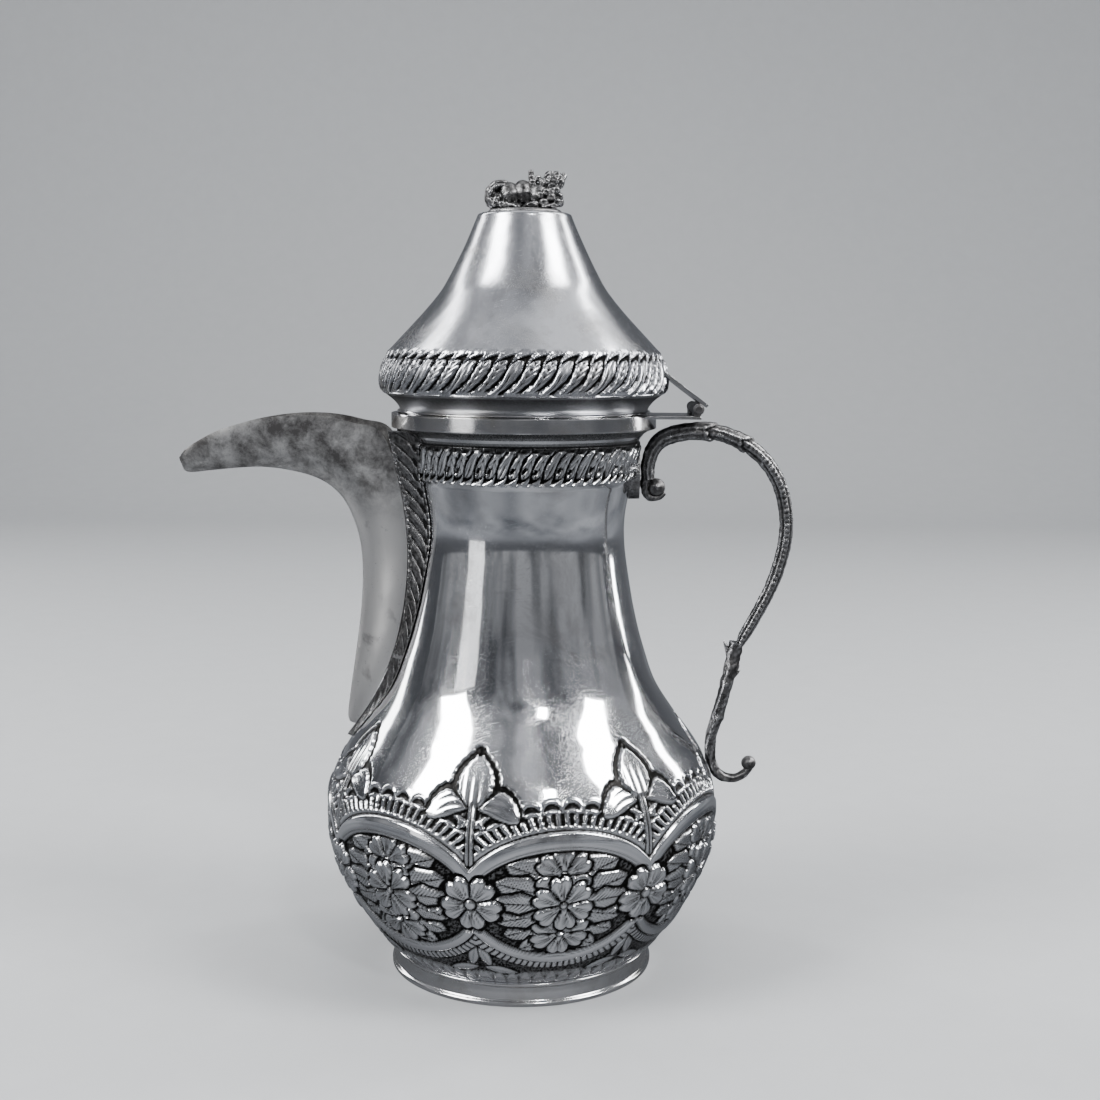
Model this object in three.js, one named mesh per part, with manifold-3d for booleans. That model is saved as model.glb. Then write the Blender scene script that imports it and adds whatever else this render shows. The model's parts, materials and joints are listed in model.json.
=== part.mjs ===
// A dallah: a raised silver coffee pot with an open beak spout, a cast scroll handle and a hinged cone lid.
//
// Millimetres, +Z up. The origin is the centre of the foot's underside. The spout points along -X, and
// the handle and the hinge stand on +X, so the XZ plane cuts the pot into two mirrored halves.

import * as THREE from "three";
import { mergeVertices } from "three/addons/utils/BufferGeometryUtils.js";
import Module from "manifold-3d";

const wasm = await Module();
wasm.setup();

// ---------------------------------------------------------------- driving dimensions

const SHEET = 1.0; // thickness of the raised body and lid
const GAP = 0.3; // clearance between a piece and the neighbour that shapes it
const SOLDER_GAP = 0.05; // clearance between flat faces that are soldered together
const ROUND = 40; // facets round the body and the lid
const PAST = 5; // how far a cutting tool runs past the piece it cuts

const FOOT_RADIUS = 45.3;
const FOOT_HEIGHT = 7.9;
// [distance in from the foot's radius, height] up the outside of the foot
const FOOT_MOULDING = [[0, 0], [0, 1.3], [0.8, 2.1], [1.1, 6.3], [0.5, 7.2], [0.9, FOOT_HEIGHT]];
const MOUTH_RADIUS = 43.5; // outside of the mouth, inside the collar
const MOUTH_TOP = 190.1;
// The collar's band wraps the mouth, and its flat ledge covers the mouth's edge
const COLLAR = {
  mouth: 42.3, inner: 43.75, outer: 44.6, bottom: 186.2, ledge: 190.15, top: 191.0, edge: 0.25,
};

// The flat disc that closes the bottom, flush with the foot's underside
const BASE_DISC = { radius: 42.85, thickness: 1.0 };

// [radius, height] of the body's outside, from its lower edge on the base disc to the neck
const SKIRT_OUTLINE = [[42.8, 1.05], [42.8, 6.0], [43.1, 6.8]];
const WALL_OUTLINE = [
  [43.6, 7.4], [50.2, 14], [59.3, 28], [65.2, 42], [66.8, 54], [64.9, 68], [57.0, 82],
  [47.2, 96], [41.2, 112], [37.3, 128], [34.9, 144], [34.3, 155], [36.9, 168.8],
];
const NECK_BAND_OUTLINE = [[37.9, 169.4], [38.4, 175], [39.6, 181], [39.0, 181.8]];
const COVE_OUTLINE = [[39.1, 182.2], [39.8, 183.4], [41.3, 184.9], [MOUTH_RADIUS, 186.0]];

// [radius, height] of the lid's outside, from its lower edge to the flat top
const LID_COVE_OUTLINE = [[41.7, 192.1], [42.2, 193.4], [43.9, 195.4], [46.2, 197.2]];
const LID_BAND_OUTLINE = [[47.6, 197.7], [48.2, 201.5], [47.8, 205.4], [46.6, 209], [45.7, 211.4]];
const LID_CONE_OUTLINE = [
  [44.9, 212.2], [38.8, 218.7], [33.9, 224], [29.4, 229.3], [25.6, 234.9], [20.5, 245], [16.0, 255.2],
];
const LID_TOP = 256.9;
const LID_TOP_OUTLINE = [[15.5, 256.4], [14.4, LID_TOP], [0, LID_TOP]];
const FLANGE = { inner: 40.3, outer: 42.5, bottom: 191.3, top: 192.05 };
const BEZEL = { inner: 40.5, outer: 41.5, bottom: 186.2, lead: { inward: 0.4, height: 1.2 }, top: 191.25 };

// The beak: each station pairs a point of the keel with a point of the edge above or behind it.
// The first stations run along the open top, the later ones down the joint with the body.
const SPOUT_SHEET = 1.1;
const KEEL_SHEET = 1.7; // the fold is thicker across than the cheeks
const SPOUT_STATIONS = [
  { keel: [-116.2, 173.2], edge: [-116.5, 175.2], half: 1.4 },
  { keel: [-114.2, 170.2], edge: [-113.2, 178.6], half: 3.4 },
  { keel: [-106.5, 170.7], edge: [-104.5, 183.6], half: 5.6 },
  { keel: [-98.0, 171.6], edge: [-96.0, 186.7], half: 7.6 },
  { keel: [-88.0, 172.0], edge: [-87.0, 188.8], half: 9.4 },
  { keel: [-77.0, 170.5], edge: [-77.0, 190.0], half: 11.0 },
  { keel: [-68.0, 167.4], edge: [-66.5, 189.8], half: 12.4 },
  { keel: [-61.5, 161.8], edge: [-56.0, 187.8], half: 13.6 },
  { keel: [-57.4, 153.5], edge: [-46.2, 184.2], half: 14.4 },
  { keel: [-55.4, 145.0], edge: [-41.0, 168.0], half: 12.9 },
  { keel: [-54.9, 135.5], edge: [-38.6, 149.0], half: 11.6 },
  { keel: [-55.6, 123.0], edge: [-39.6, 129.0], half: 11.0 },
  { keel: [-57.4, 109.0], edge: [-43.8, 110.0], half: 9.8 },
  { keel: [-59.3, 96.0], edge: [-50.0, 95.5], half: 7.0 },
  { keel: [-60.4, 87.0], edge: [-56.2, 85.0], half: 3.4 },
  { keel: [-60.0, 84.2], edge: [-58.6, 83.6], half: 1.2 },
];

// The saddle under the beak: height, half width on the body, and place and half width of its front edge.
const SADDLE_SHEET = 1.0;
const SADDLE_BACK = -20; // how far into the body the uncut saddle reaches
const THROAT_HALF = 5; // the saddle is hollow where its front edge is wider than this
const SADDLE_STATIONS = [
  { height: 185.6, root: 24.0, front: -44.6, half: 15.2 },
  { height: 176.0, root: 19.5, front: -42.6, half: 14.3 },
  { height: 162.0, root: 16.6, front: -39.7, half: 12.9 },
  { height: 147.0, root: 16.0, front: -38.3, half: 12.0 },
  { height: 132.0, root: 15.6, front: -38.9, half: 11.4 },
  { height: 118.0, root: 15.0, front: -41.2, half: 10.9 },
  { height: 104.0, root: 14.2, front: -45.9, half: 9.4 },
  { height: 92.0, root: 12.6, front: -51.8, half: 6.8 },
  { height: 84.0, root: 9.0, front: -57.2, half: 3.6 },
  { height: 79.5, root: 4.0, front: -60.6, half: 1.2 },
];

// Strainer holes through the body wall behind the beak
const STRAINER = { radius: 2.1, rows: 6, lowest: 112, pitch: 11, columns: [-7.5, 0, 7.5] };
const DRILL = { length: 30, middle: -38 }; // along X, through the wall only

const HINGE = { x: 57.9, z: 193.0 }; // the pin lies along Y through this point
const KNUCKLE_RADIUS = 1.85;
const KNUCKLE_BORE = 1.0;
const PIN_RADIUS = 0.92;
const PIN_HEAD = { radius: 1.35, length: 0.6 };
const LEAF_FILLET = { width: 2.4, height: 1.6, inward: 0.4 }; // solder under the fixed knuckles
const STRAP_FILLET = { width: 2.0, height: 1.2 }; // solder over the lid's knuckle
const BARREL_HALF = 13.0; // half the width of the three knuckles together
const LID_KNUCKLE_HALF = 4.7;
const LOWER_LEAF = { bottom: 189.6, top: 190.75, end: 58.9, chamfer: 0.5, half: 12.6 };
const LEAF_ROOT = 6; // how far inside the collar the uncut leaf starts
const STRAP = { slope: 37, under: 2.0, thickness: 1.1, overhang: 1.8, length: 20, half: 12.4 };

// The handle's centre line, [x, z], with the half thickness in the plane and across it
const BAR_STATIONS = [
  { at: [42.3, 168.8], thick: 2.1, wide: 3.0 },
  { at: [42.2, 173.6], thick: 2.3, wide: 3.3 },
  { at: [43.8, 178.9], thick: 2.5, wide: 3.5 },
  { at: [47.2, 182.6], thick: 2.8, wide: 3.7 },
  { at: [53.0, 184.6], thick: 2.9, wide: 3.8 },
  { at: [60.0, 185.2], thick: 2.9, wide: 3.8 },
  { at: [67.8, 184.1], thick: 2.6, wide: 3.6 },
  { at: [75.4, 180.7], thick: 2.5, wide: 3.4 },
  { at: [82.3, 174.8], thick: 2.4, wide: 3.2 },
  { at: [87.2, 166.6], thick: 2.3, wide: 3.0 },
  { at: [89.5, 156.0], thick: 2.2, wide: 2.9 },
  { at: [89.0, 145.5], thick: 2.2, wide: 2.8 },
  { at: [85.6, 133.6], thick: 2.1, wide: 2.7 },
  { at: [80.4, 122.6], thick: 2.0, wide: 2.5 },
  { at: [76.2, 115.0], thick: 1.8, wide: 2.3 },
  { at: [74.6, 111.6], thick: 1.2, wide: 1.8 },
];
const BAR_STEPS = 24;
const BAR_VOLUTE_STATIONS = [
  { at: [42.3, 171.5], thick: 2.0, wide: 2.6 },
  { at: [41.3, 166.4], thick: 1.6, wide: 2.4 },
  { at: [42.6, 162.9], thick: 1.4, wide: 2.2 },
  { at: [45.6, 162.9], thick: 1.2, wide: 2.0 },
];
const BAR_BALL = { at: [45.0, 165.9], radius: 3.2 };
const BRANCH_STATIONS = [
  { at: [73.6, 112.6], thick: 2.3, wide: 2.6 },
  { at: [72.2, 105.5], thick: 2.3, wide: 2.5 },
  { at: [70.6, 98.0], thick: 2.1, wide: 2.4 },
  { at: [68.2, 89.0], thick: 2.0, wide: 2.3 },
  { at: [66.0, 81.5], thick: 1.9, wide: 2.2 },
  { at: [65.2, 75.0], thick: 1.9, wide: 2.2 },
  { at: [66.0, 69.4], thick: 1.8, wide: 2.1 },
  { at: [69.2, 65.4], thick: 1.6, wide: 2.0 },
  { at: [73.8, 64.4], thick: 1.4, wide: 1.8 },
  { at: [77.3, 66.2], thick: 1.3, wide: 1.7 },
  { at: [79.2, 68.6], thick: 1.2, wide: 1.6 },
];
const BRANCH_BALL = { at: [78.8, 70.0], radius: 2.5 };
const BRANCH_THORNS = [
  { from: [71.6, 107.0], to: [69.6, 113.4], radius: 1.2 },
  { from: [71.4, 99.6], to: [75.4, 102.4], radius: 1.0 },
];
const HANDLE_PAD = { bottom: 162.0, top: 177.0, half: 4.2, neck: 0.6, reach: 39.4, depth: 6 };

const FINIAL_BASE = { radius: 12.2, bottom: 256.95, top: 258.1, bevel: 0.6 };
// The cast spray's lumps, as [x, y, height over its floor], radius, stretch along each axis and turn
const SPRAY_CALYX = { at: [-1.6, 0, 3.6], radius: 4.6, stretch: [1.25, 0.95, 0.85], turn: [0, -0.1, 0] };
const SPRAY_BEADS = [
  { at: [3.4, 0, 7.6], radius: 2.0, stretch: [1, 1, 1.1] },
  { at: [3.4, 0, 10.0], radius: 1.45 },
];
const SPRAY_HEART = { at: [6.8, 0, 5.0], radius: 4.6, stretch: [0.9, 1.05, 0.95] };
const SPRAY_TIP = { at: [11.8, 0.6, 8.8], radius: 2.6, stretch: [1.25, 0.9, 0.35], turn: [0, -0.75, 0] };
const SPRAY_PETALS = { count: 5, x: 9.2, height: 5.2, across: 4.6, up: 4.0, radius: 3.0, start: 0.5 };
const SPRAY_CURLS = [
  { at: [-7.4, -2.6, 2.6], turn: 0.4 },
  { at: [-8.4, 1.6, 3.4], turn: 0.7 },
  { at: [-7.2, 4.4, 2.2], turn: 0.2 },
];
const SPRAY_LEAVES = [
  { at: [-3.5, -6.2, 1.5], yaw: 0.5 },
  { at: [3.5, -6.6, 1.5], yaw: -0.2 },
  { at: [-3.0, 6.2, 1.5], yaw: -0.5 },
  { at: [4.0, 6.4, 1.5], yaw: 0.2 },
];
const STUD = { radius: 1.5, hole: 1.7, bottom: 250.4, top: 258.1 };
const WASHER = { radius: 5.0, bottom: 255.05, top: 255.8 };
const NUT = { radius: 3.6, bottom: 252.2, top: 255.0 };

// ---------------------------------------------------------------- materials

function silver(color, roughness, metalness = 1.0) {
  return new THREE.MeshStandardMaterial({ color, roughness, metalness });
}
const polishedSilver = () => silver(0xc9cbcc, 0.18);
const satinSilver = () => silver(0xb9bcbe, 0.32);
const brushedSilver = () => silver(0xc4c6c6, 0.3);
const tarnishedSilver = () => silver(0x9c9992, 0.36);
const oxidisedSilver = () => silver(0x5b5a58, 0.45);

// ---------------------------------------------------------------- general helpers

/** Signed volume of a list of corner coordinates and a list of triangles. */
function signedVolume(positions, triangles) {
  const a = new THREE.Vector3();
  const b = new THREE.Vector3();
  const c = new THREE.Vector3();
  let sum = 0;
  for (let i = 0; i < triangles.length; i += 3) {
    a.fromArray(positions, 3 * triangles[i]);
    b.fromArray(positions, 3 * triangles[i + 1]);
    c.fromArray(positions, 3 * triangles[i + 2]);
    sum += a.dot(b.cross(c)) / 6;
  }
  return sum;
}

/** A closed solid from any closed geometry: corners merged, empty triangles dropped, faces outward. */
function solid(geometry) {
  const bare = new THREE.BufferGeometry();
  bare.setAttribute("position", geometry.getAttribute("position"));
  if (geometry.index) bare.setIndex(geometry.index);
  const merged = mergeVertices(bare, 1e-4);
  const positions = merged.getAttribute("position").array;
  const triangles = [];
  const index = merged.index.array;
  for (let i = 0; i < index.length; i += 3) {
    const [a, b, c] = [index[i], index[i + 1], index[i + 2]];
    if (a !== b && b !== c && c !== a) triangles.push(a, b, c);
  }
  if (signedVolume(positions, triangles) < 0) {
    for (let i = 0; i < triangles.length; i += 3) {
      [triangles[i], triangles[i + 1]] = [triangles[i + 1], triangles[i]];
    }
  }
  return new wasm.Manifold(new wasm.Mesh({
    numProp: 3,
    vertProperties: new Float32Array(positions),
    triVerts: new Uint32Array(triangles),
  }));
}

/** A three.js mesh with its own material from a solid. */
function piece(name, body, material) {
  const { vertProperties, triVerts } = body.getMesh();
  const geometry = new THREE.BufferGeometry();
  geometry.setAttribute("position", new THREE.BufferAttribute(new Float32Array(vertProperties), 3));
  geometry.setIndex(new THREE.BufferAttribute(new Uint32Array(triVerts), 1));
  geometry.computeVertexNormals();
  const mesh = new THREE.Mesh(geometry, material);
  mesh.name = name;
  return mesh;
}

function vector2(points) {
  return points.map(([x, y]) => new THREE.Vector2(x, y));
}

/** Points along a smooth curve through the given [radius, height] points. */
function smooth(points, steps) {
  return new THREE.SplineCurve(vector2(points)).getPoints(steps);
}

/** The outline moved sideways by a distance, to the left of its direction of travel. */
function offset(points, distance) {
  return points.map((point, i) => {
    const before = points[Math.max(i - 1, 0)];
    const after = points[Math.min(i + 1, points.length - 1)];
    const along = after.clone().sub(before).normalize();
    const moved = point.clone().add(new THREE.Vector2(-along.y, along.x).multiplyScalar(distance));
    return point.x === 0 ? new THREE.Vector2(0, moved.y) : moved;
  });
}

/** A solid turned round Z. The outline starts and ends on the axis, or is closed by repeating its start. */
function turned(outline, facets = ROUND) {
  const geometry = new THREE.LatheGeometry(outline, facets);
  geometry.rotateX(Math.PI / 2);
  return solid(geometry);
}

/** A turned ring with the given [radius, height] section. */
function ring(section, facets = ROUND) {
  return turned(vector2([...section, section[0]]), facets);
}

function cylinderAlongZ(radius, bottom, top, facets = 16) {
  const geometry = new THREE.CylinderGeometry(radius, radius, top - bottom, facets);
  geometry.rotateX(Math.PI / 2);
  geometry.translate(0, 0, (bottom + top) / 2);
  return solid(geometry);
}

/** A cylinder along Y on the hinge axis. */
function cylinderOnHinge(radius, from, to, facets = 20) {
  const geometry = new THREE.CylinderGeometry(radius, radius, to - from, facets);
  geometry.translate(HINGE.x, (from + to) / 2, HINGE.z);
  return solid(geometry);
}

/** A closed solid through a row of sections with the same number of points each. */
function loft(sections) {
  const size = sections[0].length;
  const corners = sections.flat();
  const triangles = [];
  for (let row = 0; row + 1 < sections.length; row++) {
    for (let i = 0; i < size; i++) {
      const a = row * size + i;
      const b = row * size + ((i + 1) % size);
      triangles.push(a, b, b + size, a, b + size, a + size);
    }
  }
  for (const end of [0, sections.length - 1]) {
    const centre = corners.length;
    corners.push(sections[end].reduce((sum, p) => sum.add(p), new THREE.Vector3()).divideScalar(size));
    for (let i = 0; i < size; i++) {
      const pair = [end * size + i, end * size + ((i + 1) % size)];
      if (end === 0) pair.reverse();
      triangles.push(centre, ...pair);
    }
  }
  const geometry = new THREE.BufferGeometry().setFromPoints(corners);
  geometry.setIndex(triangles);
  return solid(geometry);
}

/** A bar of oval section along a smooth line in the XZ plane, grown by a clearance. */
function ovalBar(stations, steps, clearance = 0) {
  const facets = 10;
  const line = new THREE.SplineCurve(vector2(stations.map((s) => s.at)));
  const sizes = new THREE.SplineCurve(vector2(stations.map((s) => [s.thick, s.wide])));
  const sections = [];
  for (let i = 0; i <= steps; i++) {
    const centre = line.getPoint(i / steps);
    const along = line.getTangent(i / steps);
    const size = sizes.getPoint(i / steps);
    const section = [];
    for (let k = 0; k < facets; k++) {
      const turn = (2 * Math.PI * k) / facets;
      const out = (size.x + clearance) * Math.cos(turn);
      section.push(new THREE.Vector3(
        centre.x - along.y * out,
        (size.y + clearance) * Math.sin(turn),
        centre.y + along.x * out,
      ));
    }
    sections.push(section);
  }
  return loft(sections);
}

function ball(centre, radius, stretch = [1, 1, 1], turn = [0, 0, 0], facets = 10) {
  const geometry = new THREE.SphereGeometry(radius, facets, Math.ceil(facets / 2) + 1);
  geometry.scale(...stretch);
  geometry.applyMatrix4(new THREE.Matrix4().makeRotationFromEuler(new THREE.Euler(...turn)));
  geometry.translate(...centre);
  return solid(geometry);
}

/** A thorn or stalk that narrows from a point to another in the XZ plane. */
function thorn({ from, to, radius }) {
  const start = new THREE.Vector3(from[0], 0, from[1]);
  const end = new THREE.Vector3(to[0], 0, to[1]);
  const along = end.clone().sub(start);
  const geometry = new THREE.CylinderGeometry(0.35 * radius, radius, along.length(), 8);
  const turn = new THREE.Quaternion().setFromUnitVectors(
    new THREE.Vector3(0, 1, 0),
    along.clone().normalize(),
  );
  geometry.applyQuaternion(turn);
  geometry.translate(...start.add(end).divideScalar(2).toArray());
  return solid(geometry);
}

// ---------------------------------------------------------------- body

const bodyOutline = [
  ...vector2(SKIRT_OUTLINE),
  ...smooth(WALL_OUTLINE, 15),
  ...vector2(NECK_BAND_OUTLINE),
  ...vector2(COVE_OUTLINE),
];

/** The full volume inside the body's outer surface, grown by a clearance. */
function bodyVolume(clearance) {
  const outline = offset(bodyOutline, -clearance);
  const top = MOUTH_TOP + clearance;
  return turned([
    new THREE.Vector2(0, outline[0].y),
    ...outline,
    new THREE.Vector2(MOUTH_RADIUS + clearance, top),
    new THREE.Vector2(0, top),
  ]);
}

function makeBodyShell() {
  const plainNeck = [
    ...vector2(SKIRT_OUTLINE),
    ...smooth(WALL_OUTLINE, 9),
    ...vector2(COVE_OUTLINE),
    new THREE.Vector2(MOUTH_RADIUS, MOUTH_TOP),
  ];
  const inside = offset(plainNeck, SHEET).reverse();
  const outside = [...bodyOutline, new THREE.Vector2(MOUTH_RADIUS, MOUTH_TOP)];
  let shell = turned([...outside, ...inside, outside[0]]);
  for (let row = 0; row < STRAINER.rows; row++) {
    for (const y of STRAINER.columns) {
      const drill = new THREE.CylinderGeometry(STRAINER.radius, STRAINER.radius, DRILL.length, 8);
      drill.rotateZ(Math.PI / 2);
      drill.translate(DRILL.middle, y, STRAINER.lowest + STRAINER.pitch * row);
      shell = shell.subtract(solid(drill));
    }
  }
  return shell;
}

function makeBaseDisc() {
  return cylinderAlongZ(BASE_DISC.radius, 0, BASE_DISC.thickness, ROUND);
}

function makeFootRing() {
  const inner = BASE_DISC.radius + SOLDER_GAP;
  const outside = FOOT_MOULDING.map(([inward, height]) => [FOOT_RADIUS - inward, height]);
  return ring([[inner, 0], ...outside, [inner, FOOT_HEIGHT]]).subtract(bodyVolume(SOLDER_GAP));
}

function makeRimCollar() {
  const { mouth, inner, outer, bottom, ledge, top, edge } = COLLAR;
  return ring([
    [inner, bottom], [outer - edge, bottom], [outer, bottom + edge],
    [outer, top - edge], [outer - edge, top], [mouth, top], [mouth, ledge], [inner, ledge],
  ]);
}

// ---------------------------------------------------------------- spout

/** One section of the beak, from edge to edge round the keel. `extend` lengthens it past the edge. */
function beakSection({ keel, edge, half }, extend) {
  const steps = 5;
  const roundness = 1.7;
  const keelPoint = new THREE.Vector3(keel[0], 0, keel[1]);
  const depth = new THREE.Vector3(edge[0], 0, edge[1]).sub(keelPoint);
  const side = (sign) => {
    const points = [];
    for (let i = 0; i <= steps; i++) {
      const turn = (Math.PI / 2) * (i / steps);
      const up = 1 - Math.pow(Math.cos(turn), 2 / roundness);
      const across = half * Math.pow(Math.sin(turn), 2 / roundness);
      points.push(keelPoint.clone().addScaledVector(depth, up).add(new THREE.Vector3(0, sign * across, 0)));
    }
    const past = depth.clone().normalize().multiplyScalar(extend);
    if (extend > 0) points.push(points[steps].clone().add(past));
    return points;
  };
  return [...side(-1).slice(1).reverse(), ...side(1)];
}

/** The beak's stations filled in along smooth lines. */
function beakStations(steps) {
  const keels = new THREE.SplineCurve(vector2(SPOUT_STATIONS.map((s) => s.keel)));
  const edges = new THREE.SplineCurve(vector2(SPOUT_STATIONS.map((s) => s.edge)));
  const halves = new THREE.SplineCurve(vector2(SPOUT_STATIONS.map((s, i) => [i, s.half])));
  return Array.from({ length: steps + 1 }, (_, i) => {
    const t = i / steps;
    const [keel, edge] = [keels, edges].map((line) => line.getPoint(t).toArray());
    return { keel, edge, half: halves.getPoint(t).y };
  });
}

/** The station of the hollow inside the beak. */
function hollowStation({ keel, edge, half }) {
  const depth = new THREE.Vector2(...edge).sub(new THREE.Vector2(...keel));
  const floor = new THREE.Vector2(...keel).addScaledVector(depth.normalize(), KEEL_SHEET);
  return { keel: floor.toArray(), edge, half: half - SPOUT_SHEET };
}

/** A volume through saddle stations, `inset` smaller on every side and `forward` longer towards the spout. */
function saddleVolume(stations, inset, forward) {
  return loft(stations.map(({ height, root, front, half }) => {
    const tip = front - forward;
    const rootX = -Math.sqrt(Math.max(bodyRadiusAt(height) ** 2 - root ** 2, 0));
    const outline = [
      [SADDLE_BACK, root - inset], [rootX, root - inset], [front, half - inset], [tip, half - inset],
    ];
    const other = outline.map(([x, y]) => [x, -y]).reverse();
    return [...outline, ...other].map(([x, y]) => new THREE.Vector3(x, y, height));
  }));
}

/** Radius of the body's outside at a height between the foot and the mouth. */
function bodyRadiusAt(height) {
  const next = bodyOutline.findIndex((p) => p.y >= height);
  if (next < 0) return MOUTH_RADIUS;
  const [low, high] = [bodyOutline[next - 1], bodyOutline[next]];
  return THREE.MathUtils.mapLinear(height, low.y, high.y, low.x, high.x);
}

function makeSpoutSaddle() {
  const throat = SADDLE_STATIONS.filter(({ half }) => half > THROAT_HALF);
  const above = { ...throat[0], height: throat[0].height + PAST };
  const hollow = saddleVolume([above, ...throat], SADDLE_SHEET, PAST);
  return saddleVolume(SADDLE_STATIONS, 0, 0).subtract(hollow).subtract(bodyVolume(GAP));
}

function makeSpoutTrough() {
  const stations = beakStations(24);
  const outside = loft(stations.map((s) => beakSection(s, 0)));
  const inner = stations.filter(({ half }) => half > 2 * SPOUT_SHEET);
  const hollow = loft(inner.map((s) => beakSection(hollowStation(s), PAST)));
  const saddle = saddleVolume(SADDLE_STATIONS, -GAP, GAP);
  return outside.subtract(hollow).subtract(saddle).subtract(bodyVolume(GAP));
}

// ---------------------------------------------------------------- handle

function makeHandleBar() {
  const { at, radius } = BAR_BALL;
  return ovalBar(BAR_STATIONS, BAR_STEPS)
    .add(ovalBar(BAR_VOLUTE_STATIONS, 7))
    .add(ball([at[0], 0, at[1]], radius))
    .subtract(bodyVolume(GAP));
}

function makeHandleBranch() {
  const { at, radius } = BRANCH_BALL;
  let branch = ovalBar(BRANCH_STATIONS, 16).add(ball([at[0], 0, at[1]], radius));
  for (const each of BRANCH_THORNS) branch = branch.add(thorn(each));
  return branch.subtract(ovalBar(BAR_STATIONS, BAR_STEPS, GAP)).subtract(bodyVolume(GAP));
}

function makeHandlePad() {
  const { bottom, top, half, neck, reach, depth } = HANDLE_PAD;
  const height = top - bottom;
  const shoulder = 0.6 * height;
  const outline = new THREE.Shape();
  outline.moveTo(0, 0);
  outline.quadraticCurveTo(half, 0.25 * height, half, shoulder);
  outline.lineTo(neck * half, height);
  outline.lineTo(-neck * half, height);
  outline.lineTo(-half, shoulder);
  outline.quadraticCurveTo(-half, 0.25 * height, 0, 0);
  const geometry = new THREE.ExtrudeGeometry(outline, { depth, bevelEnabled: false, curveSegments: 6 });
  geometry.rotateX(Math.PI / 2);
  geometry.rotateZ(Math.PI / 2);
  geometry.translate(reach - depth, 0, bottom);
  return solid(geometry).subtract(bodyVolume(SOLDER_GAP));
}

// ---------------------------------------------------------------- hinge

/** A plate with the given outline in the XZ plane, centred on Y. */
function plate(points, half) {
  const outline = new THREE.Shape(vector2(points));
  const geometry = new THREE.ExtrudeGeometry(outline, { depth: 2 * half, bevelEnabled: false });
  geometry.rotateX(Math.PI / 2);
  geometry.translate(0, half, 0);
  return solid(geometry);
}

function knuckle(from, to) {
  const tube = cylinderOnHinge(KNUCKLE_RADIUS, from, to);
  return tube.subtract(cylinderOnHinge(KNUCKLE_BORE, from - PAST, to + PAST));
}

/** A fixed knuckle with the fillet of solder that holds it on the lower leaf. */
function fixedKnuckle(from, to) {
  const { width, height, inward } = LEAF_FILLET;
  const fillet = new THREE.BoxGeometry(width, to - from, height);
  fillet.translate(HINGE.x - inward, (from + to) / 2, LOWER_LEAF.top + SOLDER_GAP + height / 2);
  return knuckle(from, to).add(solid(fillet)).subtract(cylinderOnHinge(KNUCKLE_BORE, from - PAST, to + PAST));
}

function makeLowerLeaf() {
  const { bottom, top, end, chamfer, half } = LOWER_LEAF;
  const section = [
    [COLLAR.outer - LEAF_ROOT, bottom], [end, bottom], [end, top - chamfer], [end - chamfer, top],
    [COLLAR.outer - LEAF_ROOT, top],
  ];
  const collar = cylinderAlongZ(COLLAR.outer + SOLDER_GAP, bottom - PAST, top + PAST, ROUND);
  return plate(section, half).subtract(collar);
}

function makeHingePin() {
  const end = BARREL_HALF + SOLDER_GAP;
  const head = (from, to) => cylinderOnHinge(PIN_HEAD.radius, from, to);
  return cylinderOnHinge(PIN_RADIUS, -end, end)
    .add(head(-end - PIN_HEAD.length, -end))
    .add(head(end, end + PIN_HEAD.length));
}

function makeHingeStrap() {
  const { slope, under, thickness, overhang, length, half } = STRAP;
  const turn = THREE.MathUtils.degToRad(slope);
  const along = new THREE.Vector2(Math.cos(turn), -Math.sin(turn));
  const out = new THREE.Vector2(Math.sin(turn), Math.cos(turn));
  const corner = (distance, height) => [
    HINGE.x + along.x * distance + out.x * height,
    HINGE.z + along.y * distance + out.y * height,
  ];
  const section = [
    corner(-length, under), corner(overhang, under),
    corner(overhang, under + thickness), corner(-length, under + thickness),
  ];
  return plate(section, half).subtract(lidVolume(GAP));
}

/** The lid's knuckle with the fillet of solder that holds it under the strap. */
function makeLidKnuckle() {
  const half = LID_KNUCKLE_HALF;
  const { width, height } = STRAP_FILLET;
  const fillet = new THREE.BoxGeometry(width, 2 * half, height);
  fillet.translate(0, 0, STRAP.under - SOLDER_GAP - height / 2);
  fillet.rotateY(THREE.MathUtils.degToRad(STRAP.slope));
  fillet.translate(HINGE.x, 0, HINGE.z);
  const bore = cylinderOnHinge(KNUCKLE_BORE, -half - PAST, half + PAST);
  return knuckle(-half, half).add(solid(fillet)).subtract(bore);
}

// ---------------------------------------------------------------- lid

const lidOutline = [
  ...vector2(LID_COVE_OUTLINE),
  ...vector2(LID_BAND_OUTLINE),
  ...smooth(LID_CONE_OUTLINE, 8),
  ...vector2(LID_TOP_OUTLINE),
];

/** The full volume inside the lid's outer surface, grown by a clearance. */
function lidVolume(clearance) {
  return turned([new THREE.Vector2(0, lidOutline[0].y), ...offset(lidOutline, -clearance)]);
}

function makeLidDome() {
  const inside = offset(lidOutline, SHEET).reverse();
  inside[inside.length - 1] = new THREE.Vector2(lidOutline[0].x - SHEET, lidOutline[0].y);
  const dome = turned([...inside, ...lidOutline]);
  return dome.subtract(cylinderAlongZ(STUD.hole, LID_TOP - PAST, LID_TOP + PAST));
}

function makeLidFlange() {
  const { inner, outer, bottom, top } = FLANGE;
  return ring([[inner, bottom], [outer, bottom], [outer, top], [inner, top]]);
}

function makeLidBezel() {
  const { inner, outer, bottom, lead, top } = BEZEL;
  return ring([
    [inner, bottom], [outer - lead.inward, bottom], [outer, bottom + lead.height], [outer, top], [inner, top],
  ]);
}

// ---------------------------------------------------------------- finial

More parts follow.
